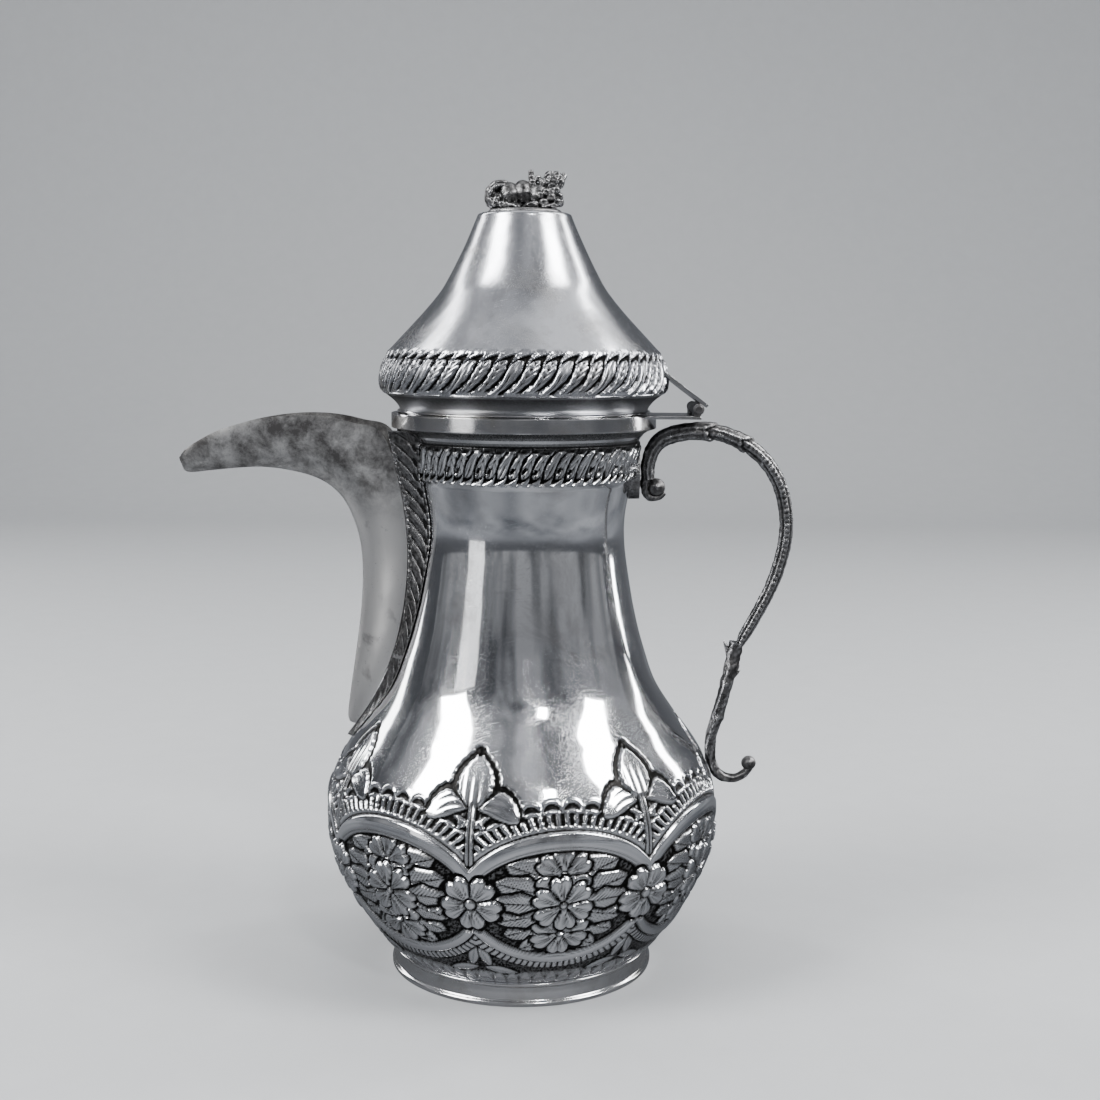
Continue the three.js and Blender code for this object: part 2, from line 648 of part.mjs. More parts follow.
function makeFinialBase() {
  const { radius, bottom, top, bevel } = FINIAL_BASE;
  return ring([
    [STUD.hole, bottom], [radius, bottom], [radius, top - bevel], [radius - bevel, top], [STUD.hole, top],
  ], 32);
}

/** The cast flower spray: leaves curling at one end, a smooth calyx, a bud on top and the open blossom. */
function makeFinialSpray() {
  const floor = FINIAL_BASE.top + SOLDER_GAP;
  const lump = ({ at: [x, y, height], radius, stretch, turn }, facets) => (
    ball([x, y, floor + height], radius, stretch, turn, facets)
  );
  const petals = Array.from({ length: SPRAY_PETALS.count }, (_, i) => {
    const { count, x, height, across, up, radius, start } = SPRAY_PETALS;
    const turn = (2 * Math.PI * i) / count + start;
    const at = [x, across * Math.cos(turn), height + up * Math.sin(turn)];
    return { at, radius, stretch: [0.6, 1, 1], turn: [turn, 0.5, 0] };
  });
  const curls = SPRAY_CURLS.map(({ at, turn }) => (
    { at, radius: 3.1, stretch: [1.15, 0.75, 0.55], turn: [0, turn, 0] }
  ));
  const leaves = SPRAY_LEAVES.map(({ at, yaw }) => (
    { at, radius: 3.6, stretch: [1.3, 0.7, 0.4], turn: [0.2 * Math.sign(at[1]), 0, yaw] }
  ));
  const round = [SPRAY_CALYX, ...SPRAY_BEADS, SPRAY_HEART].map((each) => lump(each, 10));
  const thin = [...petals, SPRAY_TIP, ...curls, ...leaves].map((each) => lump(each, 8));
  const spray = [...round, ...thin].reduce((all, shape) => all.add(shape));
  return spray.subtract(cylinderAlongZ(2 * FINIAL_BASE.radius, floor - FINIAL_BASE.radius, floor));
}

function makeFinialWasher() {
  const { radius, bottom, top } = WASHER;
  return ring([[STUD.hole, bottom], [radius, bottom], [radius, top], [STUD.hole, top]], 24);
}

function makeFinialNut() {
  const { radius, bottom, top } = NUT;
  return cylinderAlongZ(radius, bottom, top, 6)
    .subtract(cylinderAlongZ(STUD.hole, bottom - PAST, top + PAST));
}

// ---------------------------------------------------------------- assembly

const pot = new THREE.Group();
pot.add(
  piece("body_shell", makeBodyShell(), polishedSilver()),
  piece("base_disc", makeBaseDisc(), brushedSilver()),
  piece("foot_ring", makeFootRing(), brushedSilver()),
  piece("rim_collar", makeRimCollar(), brushedSilver()),
  piece("spout_trough", makeSpoutTrough(), tarnishedSilver()),
  piece("spout_saddle", makeSpoutSaddle(), oxidisedSilver()),
  piece("handle_bar", makeHandleBar(), oxidisedSilver()),
  piece("handle_branch", makeHandleBranch(), oxidisedSilver()),
  piece("handle_pad", makeHandlePad(), oxidisedSilver()),
  piece("hinge_lower_leaf", makeLowerLeaf(), brushedSilver()),
  piece("hinge_knuckle_front", fixedKnuckle(-BARREL_HALF, -LID_KNUCKLE_HALF - GAP), brushedSilver()),
  piece("hinge_knuckle_back", fixedKnuckle(LID_KNUCKLE_HALF + GAP, BARREL_HALF), brushedSilver()),
  piece("hinge_pin", makeHingePin(), oxidisedSilver()),
);

const lid = new THREE.Group();
lid.add(
  piece("lid_dome", makeLidDome(), satinSilver()),
  piece("lid_flange", makeLidFlange(), brushedSilver()),
  piece("lid_bezel", makeLidBezel(), brushedSilver()),
  piece("hinge_strap", makeHingeStrap(), brushedSilver()),
  piece("hinge_lid_knuckle", makeLidKnuckle(), brushedSilver()),
  piece("finial_base", makeFinialBase(), oxidisedSilver()),
  piece("finial_spray", makeFinialSpray(), oxidisedSilver()),
  piece("finial_stud", cylinderAlongZ(STUD.radius, STUD.bottom, STUD.top, 16), brushedSilver()),
  piece("finial_washer", makeFinialWasher(), brushedSilver()),
  piece("finial_nut", makeFinialNut(), brushedSilver()),
);

const dallah = new THREE.Group();
dallah.add(pot, lid);

export default dallah;
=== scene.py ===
"""The looks of a chased silver dallah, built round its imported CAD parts.

Lengths are in millimetres until a mesh is made, when they become metres. Angles round the pot start
at the side that faces the camera (-Y) and grow towards the handle (+X).
"""

import json
import math

import bmesh
import bpy
import numpy as np
from mathutils import Matrix, Vector
from mathutils.bvhtree import BVHTree
from mathutils.kdtree import KDTree


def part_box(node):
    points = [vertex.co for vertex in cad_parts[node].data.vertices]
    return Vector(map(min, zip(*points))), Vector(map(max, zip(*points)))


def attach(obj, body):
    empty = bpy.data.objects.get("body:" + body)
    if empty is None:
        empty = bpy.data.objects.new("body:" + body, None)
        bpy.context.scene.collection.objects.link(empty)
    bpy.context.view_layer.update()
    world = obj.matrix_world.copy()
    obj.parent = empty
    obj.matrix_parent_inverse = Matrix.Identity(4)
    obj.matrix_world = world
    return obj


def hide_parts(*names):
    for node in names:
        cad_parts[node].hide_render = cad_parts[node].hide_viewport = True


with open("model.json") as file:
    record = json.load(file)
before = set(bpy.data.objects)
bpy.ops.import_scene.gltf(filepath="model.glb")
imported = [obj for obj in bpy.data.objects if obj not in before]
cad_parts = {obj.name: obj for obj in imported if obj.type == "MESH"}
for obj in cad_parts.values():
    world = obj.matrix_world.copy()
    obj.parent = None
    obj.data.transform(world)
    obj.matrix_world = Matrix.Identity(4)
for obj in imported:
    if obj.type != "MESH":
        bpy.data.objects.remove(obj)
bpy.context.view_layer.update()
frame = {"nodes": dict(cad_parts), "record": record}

MM = 0.001
TAU = 2 * math.pi
SHEET = 1.0

# ------------------------------------------------------------------ small number helpers


def smoothstep(low, high, x):
    t = np.clip((x - low) / (high - low), 0.0, 1.0)
    return t * t * (3 - 2 * t)


def bump(x, centre, half):
    """1 at the centre, falling smoothly to 0 at half away on either side."""
    t = np.clip(1 - np.abs(x - centre) / half, 0.0, 1.0)
    return t * t * (3 - 2 * t)


def bell(x, width):
    """1 at nought, fading away over about the given width."""
    return np.exp(-(x / width) ** 2)


def dome(t):
    """A round rise from 1 in the middle (t = 0) to 0 at the edge (t = 1)."""
    return np.sqrt(np.clip(1 - t * t, 0.0, 1.0))


def wrap(angle):
    return (angle + math.pi) % TAU - math.pi


def waves(points, length, seed, count=9):
    """Smooth unevenness of about unit height and the given wavelength at points in space."""
    random = np.random.default_rng(seed)
    total = np.zeros(points.shape[:-1])
    for _ in range(count):
        way = random.normal(size=3)
        way *= TAU / (length * random.uniform(0.6, 1.6) * np.linalg.norm(way))
        total += np.sin(points @ way + random.uniform(0, TAU))
    return total / math.sqrt(count)


def stipple(u, v, pitch, seed):
    """Round punch marks scattered over a surface, 1 in the middle of a mark."""
    cell_u = np.floor(u / pitch)
    cell_v = np.floor(v / pitch)
    nearest = np.full(np.broadcast(u, v).shape, 9.0)
    for step_u in (-1, 0, 1):
        for step_v in (-1, 0, 1):
            i = cell_u + step_u
            j = cell_v + step_v
            key = np.sin(i * 127.1 + j * 311.7 + seed) * 43758.5453
            shift_u = key - np.floor(key)
            key = np.sin(i * 269.5 + j * 183.3 + seed) * 24634.6345
            shift_v = key - np.floor(key)
            away = np.hypot(u / pitch - i - shift_u, v / pitch - j - shift_v)
            nearest = np.minimum(nearest, away)
    return np.clip(1 - nearest / 0.62, 0.0, 1.0)


def blurred(field, rounds):
    """The field softened along both ways of a grid whose columns close on themselves."""
    out = field
    for _ in range(rounds):
        out = (np.roll(out, 1, 1) + 2 * out + np.roll(out, -1, 1)) / 4
        padded = np.pad(out, ((1, 1), (0, 0)), mode="edge")
        out = (padded[:-2] + 2 * out + padded[2:]) / 4
    return out


def catmull(points, steps):
    """Points along a smooth curve through the given points, `steps` to each span."""
    points = np.asarray(points, float)
    padded = np.vstack([2 * points[0] - points[1], points, 2 * points[-1] - points[-2]])
    out = []
    for i in range(len(points) - 1):
        a, b, c, d = padded[i:i + 4]
        t = np.arange(steps)[:, None] / steps
        out.append(0.5 * (2 * b + (c - a) * t + (2 * a - 5 * b + 4 * c - d) * t ** 2
                          + (3 * b - a - 3 * c + d) * t ** 3))
    out.append(points[-1:])
    return np.vstack(out)


def round_trip(steps):
    """Angles once round, as one row."""
    return TAU * np.arange(steps)[None, :] / steps


def swept(radius, height, turn):
    """Points of a turned surface from a column of radii and heights and a row of angles."""
    return np.stack(np.broadcast_arrays(radius * np.sin(turn), -radius * np.cos(turn), height), -1)


def along(points):
    """Distance travelled at each point of a line."""
    return np.concatenate([[0.0], np.cumsum(np.linalg.norm(np.diff(points, axis=0), axis=1))])


def respaced(points, spacing):
    """The same line with its points about `spacing` apart."""
    distance = along(points)
    count = max(2, int(math.ceil(distance[-1] / spacing)) + 1)
    at = np.linspace(0, distance[-1], count)
    return np.stack([np.interp(at, distance, points[:, k]) for k in range(points.shape[1])], 1)


def sideways(outline):
    """Unit normals of a [radius, height] outline, to the right of its direction of travel."""
    tangent = np.gradient(outline, axis=0)
    tangent /= np.linalg.norm(tangent, axis=1)[:, None]
    return np.stack([tangent[:, 1], -tangent[:, 0]], 1)


# ------------------------------------------------------------------ mesh helpers


def mesh_object(name, verts, faces, fields=None, sharp=None):
    """An object from corners in millimetres and lists of equal-sized faces."""
    mesh = bpy.data.meshes.new(name)
    corners = np.concatenate([np.asarray(f).ravel() for f in faces])
    sizes = np.concatenate([np.full(len(f), np.asarray(f).shape[1]) for f in faces])
    mesh.vertices.add(len(verts))
    mesh.vertices.foreach_set("co", (np.asarray(verts) * MM).astype(np.float32).ravel())
    mesh.loops.add(len(corners))
    mesh.loops.foreach_set("vertex_index", corners.astype(np.int32))
    mesh.polygons.add(len(sizes))
    starts = np.concatenate([[0], np.cumsum(sizes)[:-1]])
    mesh.polygons.foreach_set("loop_start", starts.astype(np.int32))
    mesh.update(calc_edges=True)
    mesh.validate()
    for label, values in (fields or {}).items():
        layer = mesh.attributes.new(label, "FLOAT", "POINT")
        layer.data.foreach_set("value", np.asarray(values, np.float32).ravel())
    mesh.shade_smooth()
    if sharp:
        mesh.set_sharp_from_angle(angle=math.radians(sharp))
    obj = bpy.data.objects.new(name, mesh)
    bpy.context.scene.collection.objects.link(obj)
    return obj


def grid_faces(rows, cols, close_rows):
    """Quads of a grid whose columns close on themselves, and whose rows may too."""
    last = rows if close_rows else rows - 1
    i = np.arange(last)[:, None]
    j = np.arange(cols)[None, :]
    below = i * cols
    above = ((i + 1) % rows) * cols
    after = (j + 1) % cols
    quads = np.stack([below + j, below + after, above + after, above + j], -1)
    return quads.reshape(-1, 4)


def tube_object(name, points):
    """A closed body from a (rows, columns, 3) grid, with each end closed by a fan."""
    rows, cols = points.shape[:2]
    ends = np.stack([points[0].mean(0), points[-1].mean(0)])
    around = np.arange(cols)
    after = (around + 1) % cols
    first = np.stack([np.full(cols, rows * cols), after, around], 1)
    base = (rows - 1) * cols
    final = np.stack([np.full(cols, rows * cols + 1), base + around, base + after], 1)
    faces = [grid_faces(rows, cols, False), first, final]
    obj = mesh_object(name, np.vstack([points.reshape(-1, 3), ends]), faces)
    face_out(obj)
    return obj


def ring_object(name, points, fields=None, sharp=None):
    """A closed body from a grid whose rows and columns both close on themselves."""
    rows, cols = points.shape[:2]
    obj = mesh_object(name, points.reshape(-1, 3), [grid_faces(rows, cols, True)], fields, sharp)
    face_out(obj)
    return obj


def face_out(obj):
    """Turns a closed body's faces outward."""
    mesh = obj.data
    mesh.calc_loop_triangles()
    count = len(mesh.loop_triangles)
    corners = np.empty(count * 3, np.int32)
    mesh.loop_triangles.foreach_get("vertices", corners)
    places = np.empty(len(mesh.vertices) * 3, np.float32)
    mesh.vertices.foreach_get("co", places)
    a, b, c = places.reshape(-1, 3)[corners.reshape(-1, 3)].transpose(1, 0, 2).astype(float)
    if np.einsum("ij,ij->i", a, np.cross(b, c)).sum() < 0:
        mesh.flip_normals()


def cad_outline(node):
    """The outer [radius, height] corners of a turned CAD node, from its lower edge up."""
    mesh = frame["nodes"][node].data
    places = np.array([v.co for v in mesh.vertices]) / MM
    faces = [tuple(p.vertices) for p in mesh.polygons]
    tree = BVHTree.FromPolygons([tuple(p) for p in places], faces)
    side = places[(np.abs(places[:, 1]) < 1e-3) & (places[:, 0] > 0)]
    outer = []
    for x, height in sorted({(round(p[0], 3), round(p[2], 3)) for p in side}, key=lambda p: p[1]):
        hit = tree.ray_cast(Vector((300, 1e-3, height - 1e-3)), Vector((-1, 0, 0)))[0]
        low = hit.x if hit else 0
        hit = tree.ray_cast(Vector((300, 1e-3, height + 1e-3)), Vector((-1, 0, 0)))[0]
        high = hit.x if hit else 0
        if x >= max(low, high) - 0.02:
            outer.append((x, height))
    return np.array(outer)


BODIES = frame["record"]["behaviour"]["bodies"]
BODY_OF = {piece: body for body, pieces in BODIES.items() for piece in pieces}


def dress(obj, replaced, slot):
    """Gives a finished piece its silver, and puts it on its body in place of a CAD node."""
    obj.data.materials.clear()
    obj.data.materials.append(SILVERS[slot])
    obj.data.polygons.foreach_set("material_index", np.zeros(len(obj.data.polygons), np.int32))
    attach(obj, BODY_OF[replaced])
    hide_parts(replaced)


# ------------------------------------------------------------------ chasing


class Relief:
    """Height and blackening over a surface, built up motif by motif."""

    def __init__(self, shape):
        self.height = np.zeros(shape)
        self.dark = np.zeros(shape)

    def lay(self, cover, height, dark):
        """Covers what is there with a motif, where cover is 1."""
        self.height = self.height + cover * (height - self.height)
        self.dark = self.dark + cover * (dark - self.dark)

    def shape(self, edge, lift, soft, detail=0.0, dark=0.0, sink=0.35, ink=0.8):
        """Lays a raised shape with a sunk black outline; `edge` is the distance inside its outline."""
        rise = smoothstep(-0.05, soft, edge)
        line = 1 - smoothstep(0.05, 0.45, edge)
        cover = smoothstep(-ink - 0.3, -ink + 0.1, edge)
        self.lay(cover, -sink + (sink + lift) * rise + detail * rise, np.maximum(line, dark))

    def cut(self, mark, depth, dark):
        """Sinks the surface where mark is 1, and blackens it."""
        self.height = self.height - depth * mark
        self.dark = np.maximum(self.dark, dark)

    def line(self, away, width, depth):
        """Cuts a black line where `away`, the distance from it, is near nought."""
        mark = bell(away, width)
        self.cut(mark, depth, mark)

    def burr(self, mark, rise, clean=1.0):
        """Raises the surface where mark is 1, and cleans it."""
        self.height = self.height + rise * mark
        self.dark = self.dark * (1 - clean * mark)

    def ground(self, cover, level, u, v, seed):
        """Sinks the ground of a motif and roughens it with punch marks."""
        marks = stipple(u, v, 0.95, seed)
        self.lay(cover, level - 0.26 * marks, 0.72 + 0.28 * marks)


def leaf(x, y, base, tip, width, widest=0.45, teeth=0, blunt=0.8):
    """Distance inside a leaf's outline, distance from its base along it, and off its midrib."""
    dx = tip[0] - base[0]
    dy = tip[1] - base[1]
    length = math.hypot(dx, dy)
    share = ((x - base[0]) * dx + (y - base[1]) * dy) / length ** 2
    off = ((y - base[1]) * dx - (x - base[0]) * dy) / length
    power = math.log(0.5) / math.log(widest)
    half = width / 2 * np.sin(np.pi * np.clip(share, 0, 1) ** power) ** blunt
    if teeth:
        half = half * (1 - 0.16 * np.abs(np.sin(np.pi * teeth * np.clip(share, 0, 1))))
    past = np.maximum(-share, share - 1) * length
    edge = np.where(past > 0, -np.hypot(past, off), half - np.abs(off))
    return edge, share * length, off


def lay_leaf(relief, x, y, base, tip, width, lift=0.35, widest=0.45, teeth=2.5):
    """A serrated leaf with a midrib and slanting veins."""
    edge, run, off = leaf(x, y, base, tip, width, widest, teeth)
    veins = np.sin(TAU * (run - 1.1 * np.abs(off)) / 1.45)
    rib = bell(off, 0.28)
    cut = np.clip(-veins, 0, 1)
    relief.shape(edge, lift, 1.1, 0.14 * veins - 0.2 * rib, np.maximum(0.95 * rib, 0.8 * cut ** 2))


def lay_flower(relief, x, y, petals, radius, turn=0.0, lift=0.75, boss=1.25, ink=0.7):
    """An open flower of heart-shaped petals, creased towards its boss. The first petal points down."""
    away = np.hypot(x, y)
    angle = np.arctan2(x, -y) - turn
    step = TAU / petals
    off = (angle + step / 2) % step - step / 2
    share = np.abs(off) / (step / 2)
    outline = radius * (1 - 0.36 * share ** 3.4 - 0.11 * bell(share, 0.16))
    between = away * np.sin(np.clip(step / 2 - np.abs(off), 0, None))
    edge = np.minimum(outline - away, between * 1.15)
    edge = np.where(away > radius * 1.3, outline - away, edge)
    reach = np.clip(away / radius, 0, 1)
    creases = np.cos(off * 26) * smoothstep(0.95, 0.35, reach) * smoothstep(0.1, 0.3, reach)
    cup = 0.25 * smoothstep(0.2, 1.0, reach) - 0.2
    rib = bell(off * away, 0.3) * smoothstep(0.2, 0.45, reach) * smoothstep(0.95, 0.7, reach)
    dark = np.clip(0.9 * np.clip(-creases, 0, 1) + 0.65 * rib, 0, 1)
    relief.shape(edge, lift, 1.2, 0.13 * creases + cup - 0.12 * rib, dark, ink=ink)
    ring = bell(away - boss, 0.38)
    relief.lay(smoothstep(boss + 0.9, boss + 0.3, away), lift * 0.35, 0.2)
    button = lift * 0.5 + 0.6 * dome(away / (boss + 0.1))
    relief.lay(smoothstep(boss + 0.1, boss - 0.25, away), button, 0.0)
    relief.line(np.where(ring > 0.02, away - boss, 9.0), 0.42, 0.4)


MEDALLIONS = 7
CELL = math.pi / MEDALLIONS  # half the angle that a medallion takes
FIRST_MEDALLION = math.radians(12.5)
OVAL_REACH = CELL / 0.93  # the ovals' half width; neighbours cross behind the flowers between them
OVAL_RADIUS = 65.5
OVAL_UP = 21.1
OVAL_DOWN = 23.5
OVAL_MIDDLE = 41.5  # height on the pot of the middle of the ovals
MEDALLION_LEAVES = [  # base, tip and width of the leaves in the right half of an oval
    ((3.0, 9.0), (18.6, 14.2), 11.0),
    ((5.0, -7.6), (18.0, -12.4), 10.6),
    ((6.0, 4.2), (22.0, 8.2), 9.6),
    ((6.0, -3.0), (21.2, -6.4), 9.6),
    ((7.0, 0.6), (23.4, 1.2), 8.4),
    ((4.0, -14.0), (12.4, -18.4), 8.0),
]


def cells(turn, first):
    """Angle from the nearest of the repeats that start at `first`, and which repeat it is."""
    off = (turn - first + CELL) % (2 * CELL) - CELL
    index = np.round((turn - first - off) / (2 * CELL)) % MEDALLIONS
    return off, index


def oval(off, up):
    """Distance outside the oval frame, and distance along it from its highest or lowest point."""
    across = OVAL_RADIUS * OVAL_REACH
    x = OVAL_RADIUS * off
    high = np.where(up > 0, OVAL_UP, OVAL_DOWN)
    scale = np.hypot(x / across, up / high)
    slope = np.hypot(x / across ** 2, up / high ** 2) / np.maximum(scale, 1e-6)
    outside = (scale - 1) / np.maximum(slope, 1e-6)
    turn = np.linspace(0, math.pi / 2, 200)
    mean = (OVAL_UP + OVAL_DOWN) / 2
    steps = np.hypot(across * np.cos(turn), mean * np.sin(turn))
    run = np.concatenate([[0], np.cumsum((steps[1:] + steps[:-1]) / 2 * np.diff(turn))])
    here = np.arctan2(np.abs(x) / across, np.abs(up) / high)
    return outside, np.interp(here, turn, run) * np.sign(x)


def chase_medallion(relief, off, index, up, radius):
    """The flowers and leaves inside an oval."""
    x = radius * off
    sway = 0.09 * np.sin(index * 2.4)
    outside, _ = oval(off, up)
    relief.ground(smoothstep(-0.2, -0.9, outside), -0.62, OVAL_RADIUS * off + 90 * index, up, 3.0)
    for side in (-1, 1):
        for base, tip, width in MEDALLION_LEAVES:
            lay_leaf(relief, x, up, (base[0] * side, base[1]), (tip[0] * side, tip[1]), width)
    lay_flower(relief, x, up + 11.6, 6, 10.0, sway, 0.5)
    lay_flower(relief, x, up - 10.4, 6, 9.6, -sway, 0.5)
    lay_flower(relief, x, up, 6, 10.4, sway + 0.15, 0.85)


def chase_frame(relief, off, up):
    """The rolled oval frame, with its bright edge and its inner bevel."""
    outside, _ = oval(off, up)
    end = np.clip(np.abs(off) / CELL, 0, 1)
    half = np.where(up > 0, 3.05 - 0.8 * end ** 2, 1.95 - 0.2 * end)
    across = outside / half
    body = 0.72 * np.clip(1 - np.abs(across) ** 2.6, 0, 1) + 0.18 * across
    edge_bead = 0.2 * bell(across - 0.78, 0.16)
    bevel = bell(across + 0.62, 0.1)
    relief.lay(smoothstep(1.22, 1.06, np.abs(across)), body + edge_bead - 0.16 * bevel, 0.6 * bevel)
    for edge in (-1.1, 1.1):
        relief.line(outside - edge * half, 0.36, 0.45)


def chase_border(relief, off, up):
    """The fluted border over an oval and the row of scallops that ends it."""
    outside, run = oval(off, up)
    above = smoothstep(3.0, 5.0, up)
    slot = 2.2
    scallop = 4.6
    half_arch = 1.95
    near = (run / slot + 0.5) % 1 - 0.5
    flutes = smoothstep(3.2, 3.6, outside) * smoothstep(9.3, 8.9, outside) * above
    rib = smoothstep(0.22, 0.33, np.abs(near))
    depth = 0.15 + 0.85 * smoothstep(4.4, 5.0, outside) * smoothstep(9.2, 8.8, outside)
    depth = depth * (0.86 + 0.14 * np.sin(TAU * outside / 0.8))
    relief.lay(flutes, 0.12 - 0.8 * depth * (1 - rib), np.clip(1.05 * depth * (1 - rib), 0, 1))
    lobe = ((run / scallop) % 1 - 0.5) * scallop / half_arch
    arch = np.sqrt(np.clip(1 - lobe ** 2, 0, 1))
    past = outside - 8.9
    lobes = smoothstep(-0.4, 0.0, past) * above
    inner = 0.2 + 0.9 * arch
    outer = 0.3 + 2.7 * arch
    relief.lay(lobes * smoothstep(outer + 0.2, outer, past), 0.3 * dome(lobe) - 0.1, 0.0)
    crescent = smoothstep(inner - 0.35, inner + 0.15, past)
    crescent = crescent * smoothstep(outer + 0.25, outer - 0.25, past) * lobes
    relief.cut(crescent, 0.75, crescent)
    relief.burr(bump(past - outer, 0.75, 0.8) * lobes * smoothstep(0.0, 0.4, arch), 0.36)


def chase_iris(relief, off, up, radius):
    """The iris over each joint of two ovals: one upright petal, two drooping ones and a double stem."""
    x = radius * off
    outside, _ = oval(CELL - np.abs(off), up)
    field = smoothstep(9.4, 8.8, np.abs(x)) * smoothstep(33.0, 31.5, up)
    field = field * smoothstep(12.6, 13.2, outside) * smoothstep(12, 14, up)
    relief.ground(field, -0.45, x, up, 7.0)
    for side in (-1, 1):
        arch = 3.2 * np.sin(np.pi * np.clip(x * side / 15.5, 0, 1) ** 0.9)
        base = (0.4 * side, 31.4)
        tip = (15.2 * side, 27.2)
        edge, run, off_rib = leaf(x, up - arch, base, tip, 8.8, 0.6, 0, 0.55)
        upper = smoothstep(-0.5, 1.5, off_rib * side)
        scallop = 0.45 * np.abs(np.sin(np.pi * run / 2.3)) * upper
        fan = np.cos(off_rib * 2.9 - 0.1 * run * np.sign(off_rib)) * smoothstep(14, 3, run)
        crease = np.clip(-fan, 0, 1) ** 2
        relief.shape(edge + scallop, 0.22, 1.0, 0.1 * fan, 0.85 * crease, 0.55, 0.4 + 1.5 * upper)
    edge, run, off_rib = leaf(x, up, (0.0, 30.4), (0.0, 49.0), 11.6, 0.45)
    edge = edge + 0.4 * np.abs(np.sin(np.pi * run / 2.4)) * smoothstep(3, 6, run)
    fan = np.cos(off_rib * 2.4) * smoothstep(15, 3, run)
    crease = np.clip(-fan, 0, 1) ** 2
    relief.shape(edge, 0.3, 1.1, 0.1 * fan, 0.85 * crease, 0.6, 0.3 + 1.5 * smoothstep(2.5, 6, run))
    knob = np.hypot(x, up - 49.2)
    relief.lay(smoothstep(1.6, 1.2, knob), -0.3 + 0.4 * dome(knob / 1.2), 1.0)
    stem = smoothstep(33, 31.5, up) * smoothstep(7, 9, up)
    relief.lay(stem * smoothstep(1.5, 1.2, np.abs(x)), 0.16, 0.1)
    for place in (-1.5, 0.0, 1.5):
        relief.line(np.where(stem > 0.5, x - place, 9.0), 0.33, 0.3)


def chase_foot_zone(relief, off, index, up, height, radius):
    """The ribs under the ovals, the strokes in the corners and the tongues round the foot."""
    outside, run = oval(off, up)
    below = smoothstep(-3.0, -5.0, up)
    corner = below * smoothstep(2.2, 2.6, outside) * smoothstep(12.0, 14.5, height)
    relief.ground(corner, -0.3, OVAL_RADIUS * off + 90 * index, up, 11.0)
    near = (run / 2.1 + 0.5) % 1 - 0.5
    ribs = below * smoothstep(2.3, 2.6, outside) * smoothstep(5.6, 5.2, outside)
    relief.lay(ribs, 0.25 * dome(near * 2.1), smoothstep(0.25, 0.42, np.abs(near)))
    relief.line(np.where(below > 0.5, outside - 5.7, 9.0), 0.3, 0.25)
    from_joint = radius * (CELL - np.abs(off))
    mask = below * smoothstep(5.8, 6.2, outside)
    for low, high, reach in ((13.0, 20.0, 6.0), (16.0, 25.0, 3.2), (13.5, 16.0, 11.5)):
        base = (0.6, OVAL_MIDDLE - high)
        tip = (reach, OVAL_MIDDLE - low)
        edge, run, rib = leaf(from_joint, OVAL_MIDDLE - height, base, tip, 3.6, 0.5)
        stroke = 0.3 * smoothstep(0, 0.9, edge) + 0.06 * np.sin(TAU * run / 1.3) - 0.15
        dark = 1 - smoothstep(0.0, 0.5, edge) + 0.4 * bell(rib, 0.25)
        relief.lay(mask * smoothstep(-0.6, -0.2, edge), stroke, dark)
    tongue = 4.1
    place = (OVAL_RADIUS * 0.72 * off / tongue + 0.5) % 1 - 0.5
    top = 13.6 - 3.4 * (2 * place) ** 2
    inside = smoothstep(-0.3, 0.2, top - height) * smoothstep(7.6, 8.4, height)
    line = bell(top - height, 0.45) + bell((0.5 - np.abs(place)) * tongue, 0.4)
    relief.lay(inside, 0.32 * dome(1.9 * place) + 0.05, 0.05)
    line = 0.4 * np.clip(line, 0, 1) * smoothstep(15.0, 14.0, height) * smoothstep(7.6, 8.4, height)
    relief.cut(line, 0.3, line)


def chase_belly(turn, rise, height, radius):
    """All the chasing of the belly. `rise` is the distance along the wall from the ovals' middle."""
    relief = Relief(np.broadcast(turn, rise).shape)
    off, index = cells(turn, FIRST_MEDALLION)
    joint, _ = cells(turn, FIRST_MEDALLION + CELL)
    chase_medallion(relief, off, index, rise, radius)
    chase_foot_zone(relief, off, index, rise, height, radius)
    plain = smoothstep(2.6, 3.0, oval(off, rise)[0]) * smoothstep(0, 4, rise)
    relief.lay(plain, 0.0, 0.0)
    chase_border(relief, off, rise)
    chase_iris(relief, joint, rise, radius)
    chase_frame(relief, off, rise)
    lay_flower(relief, radius * joint, rise, 5, 10.3, 0.0, 0.95, 1.9, 1.1)
    return relief


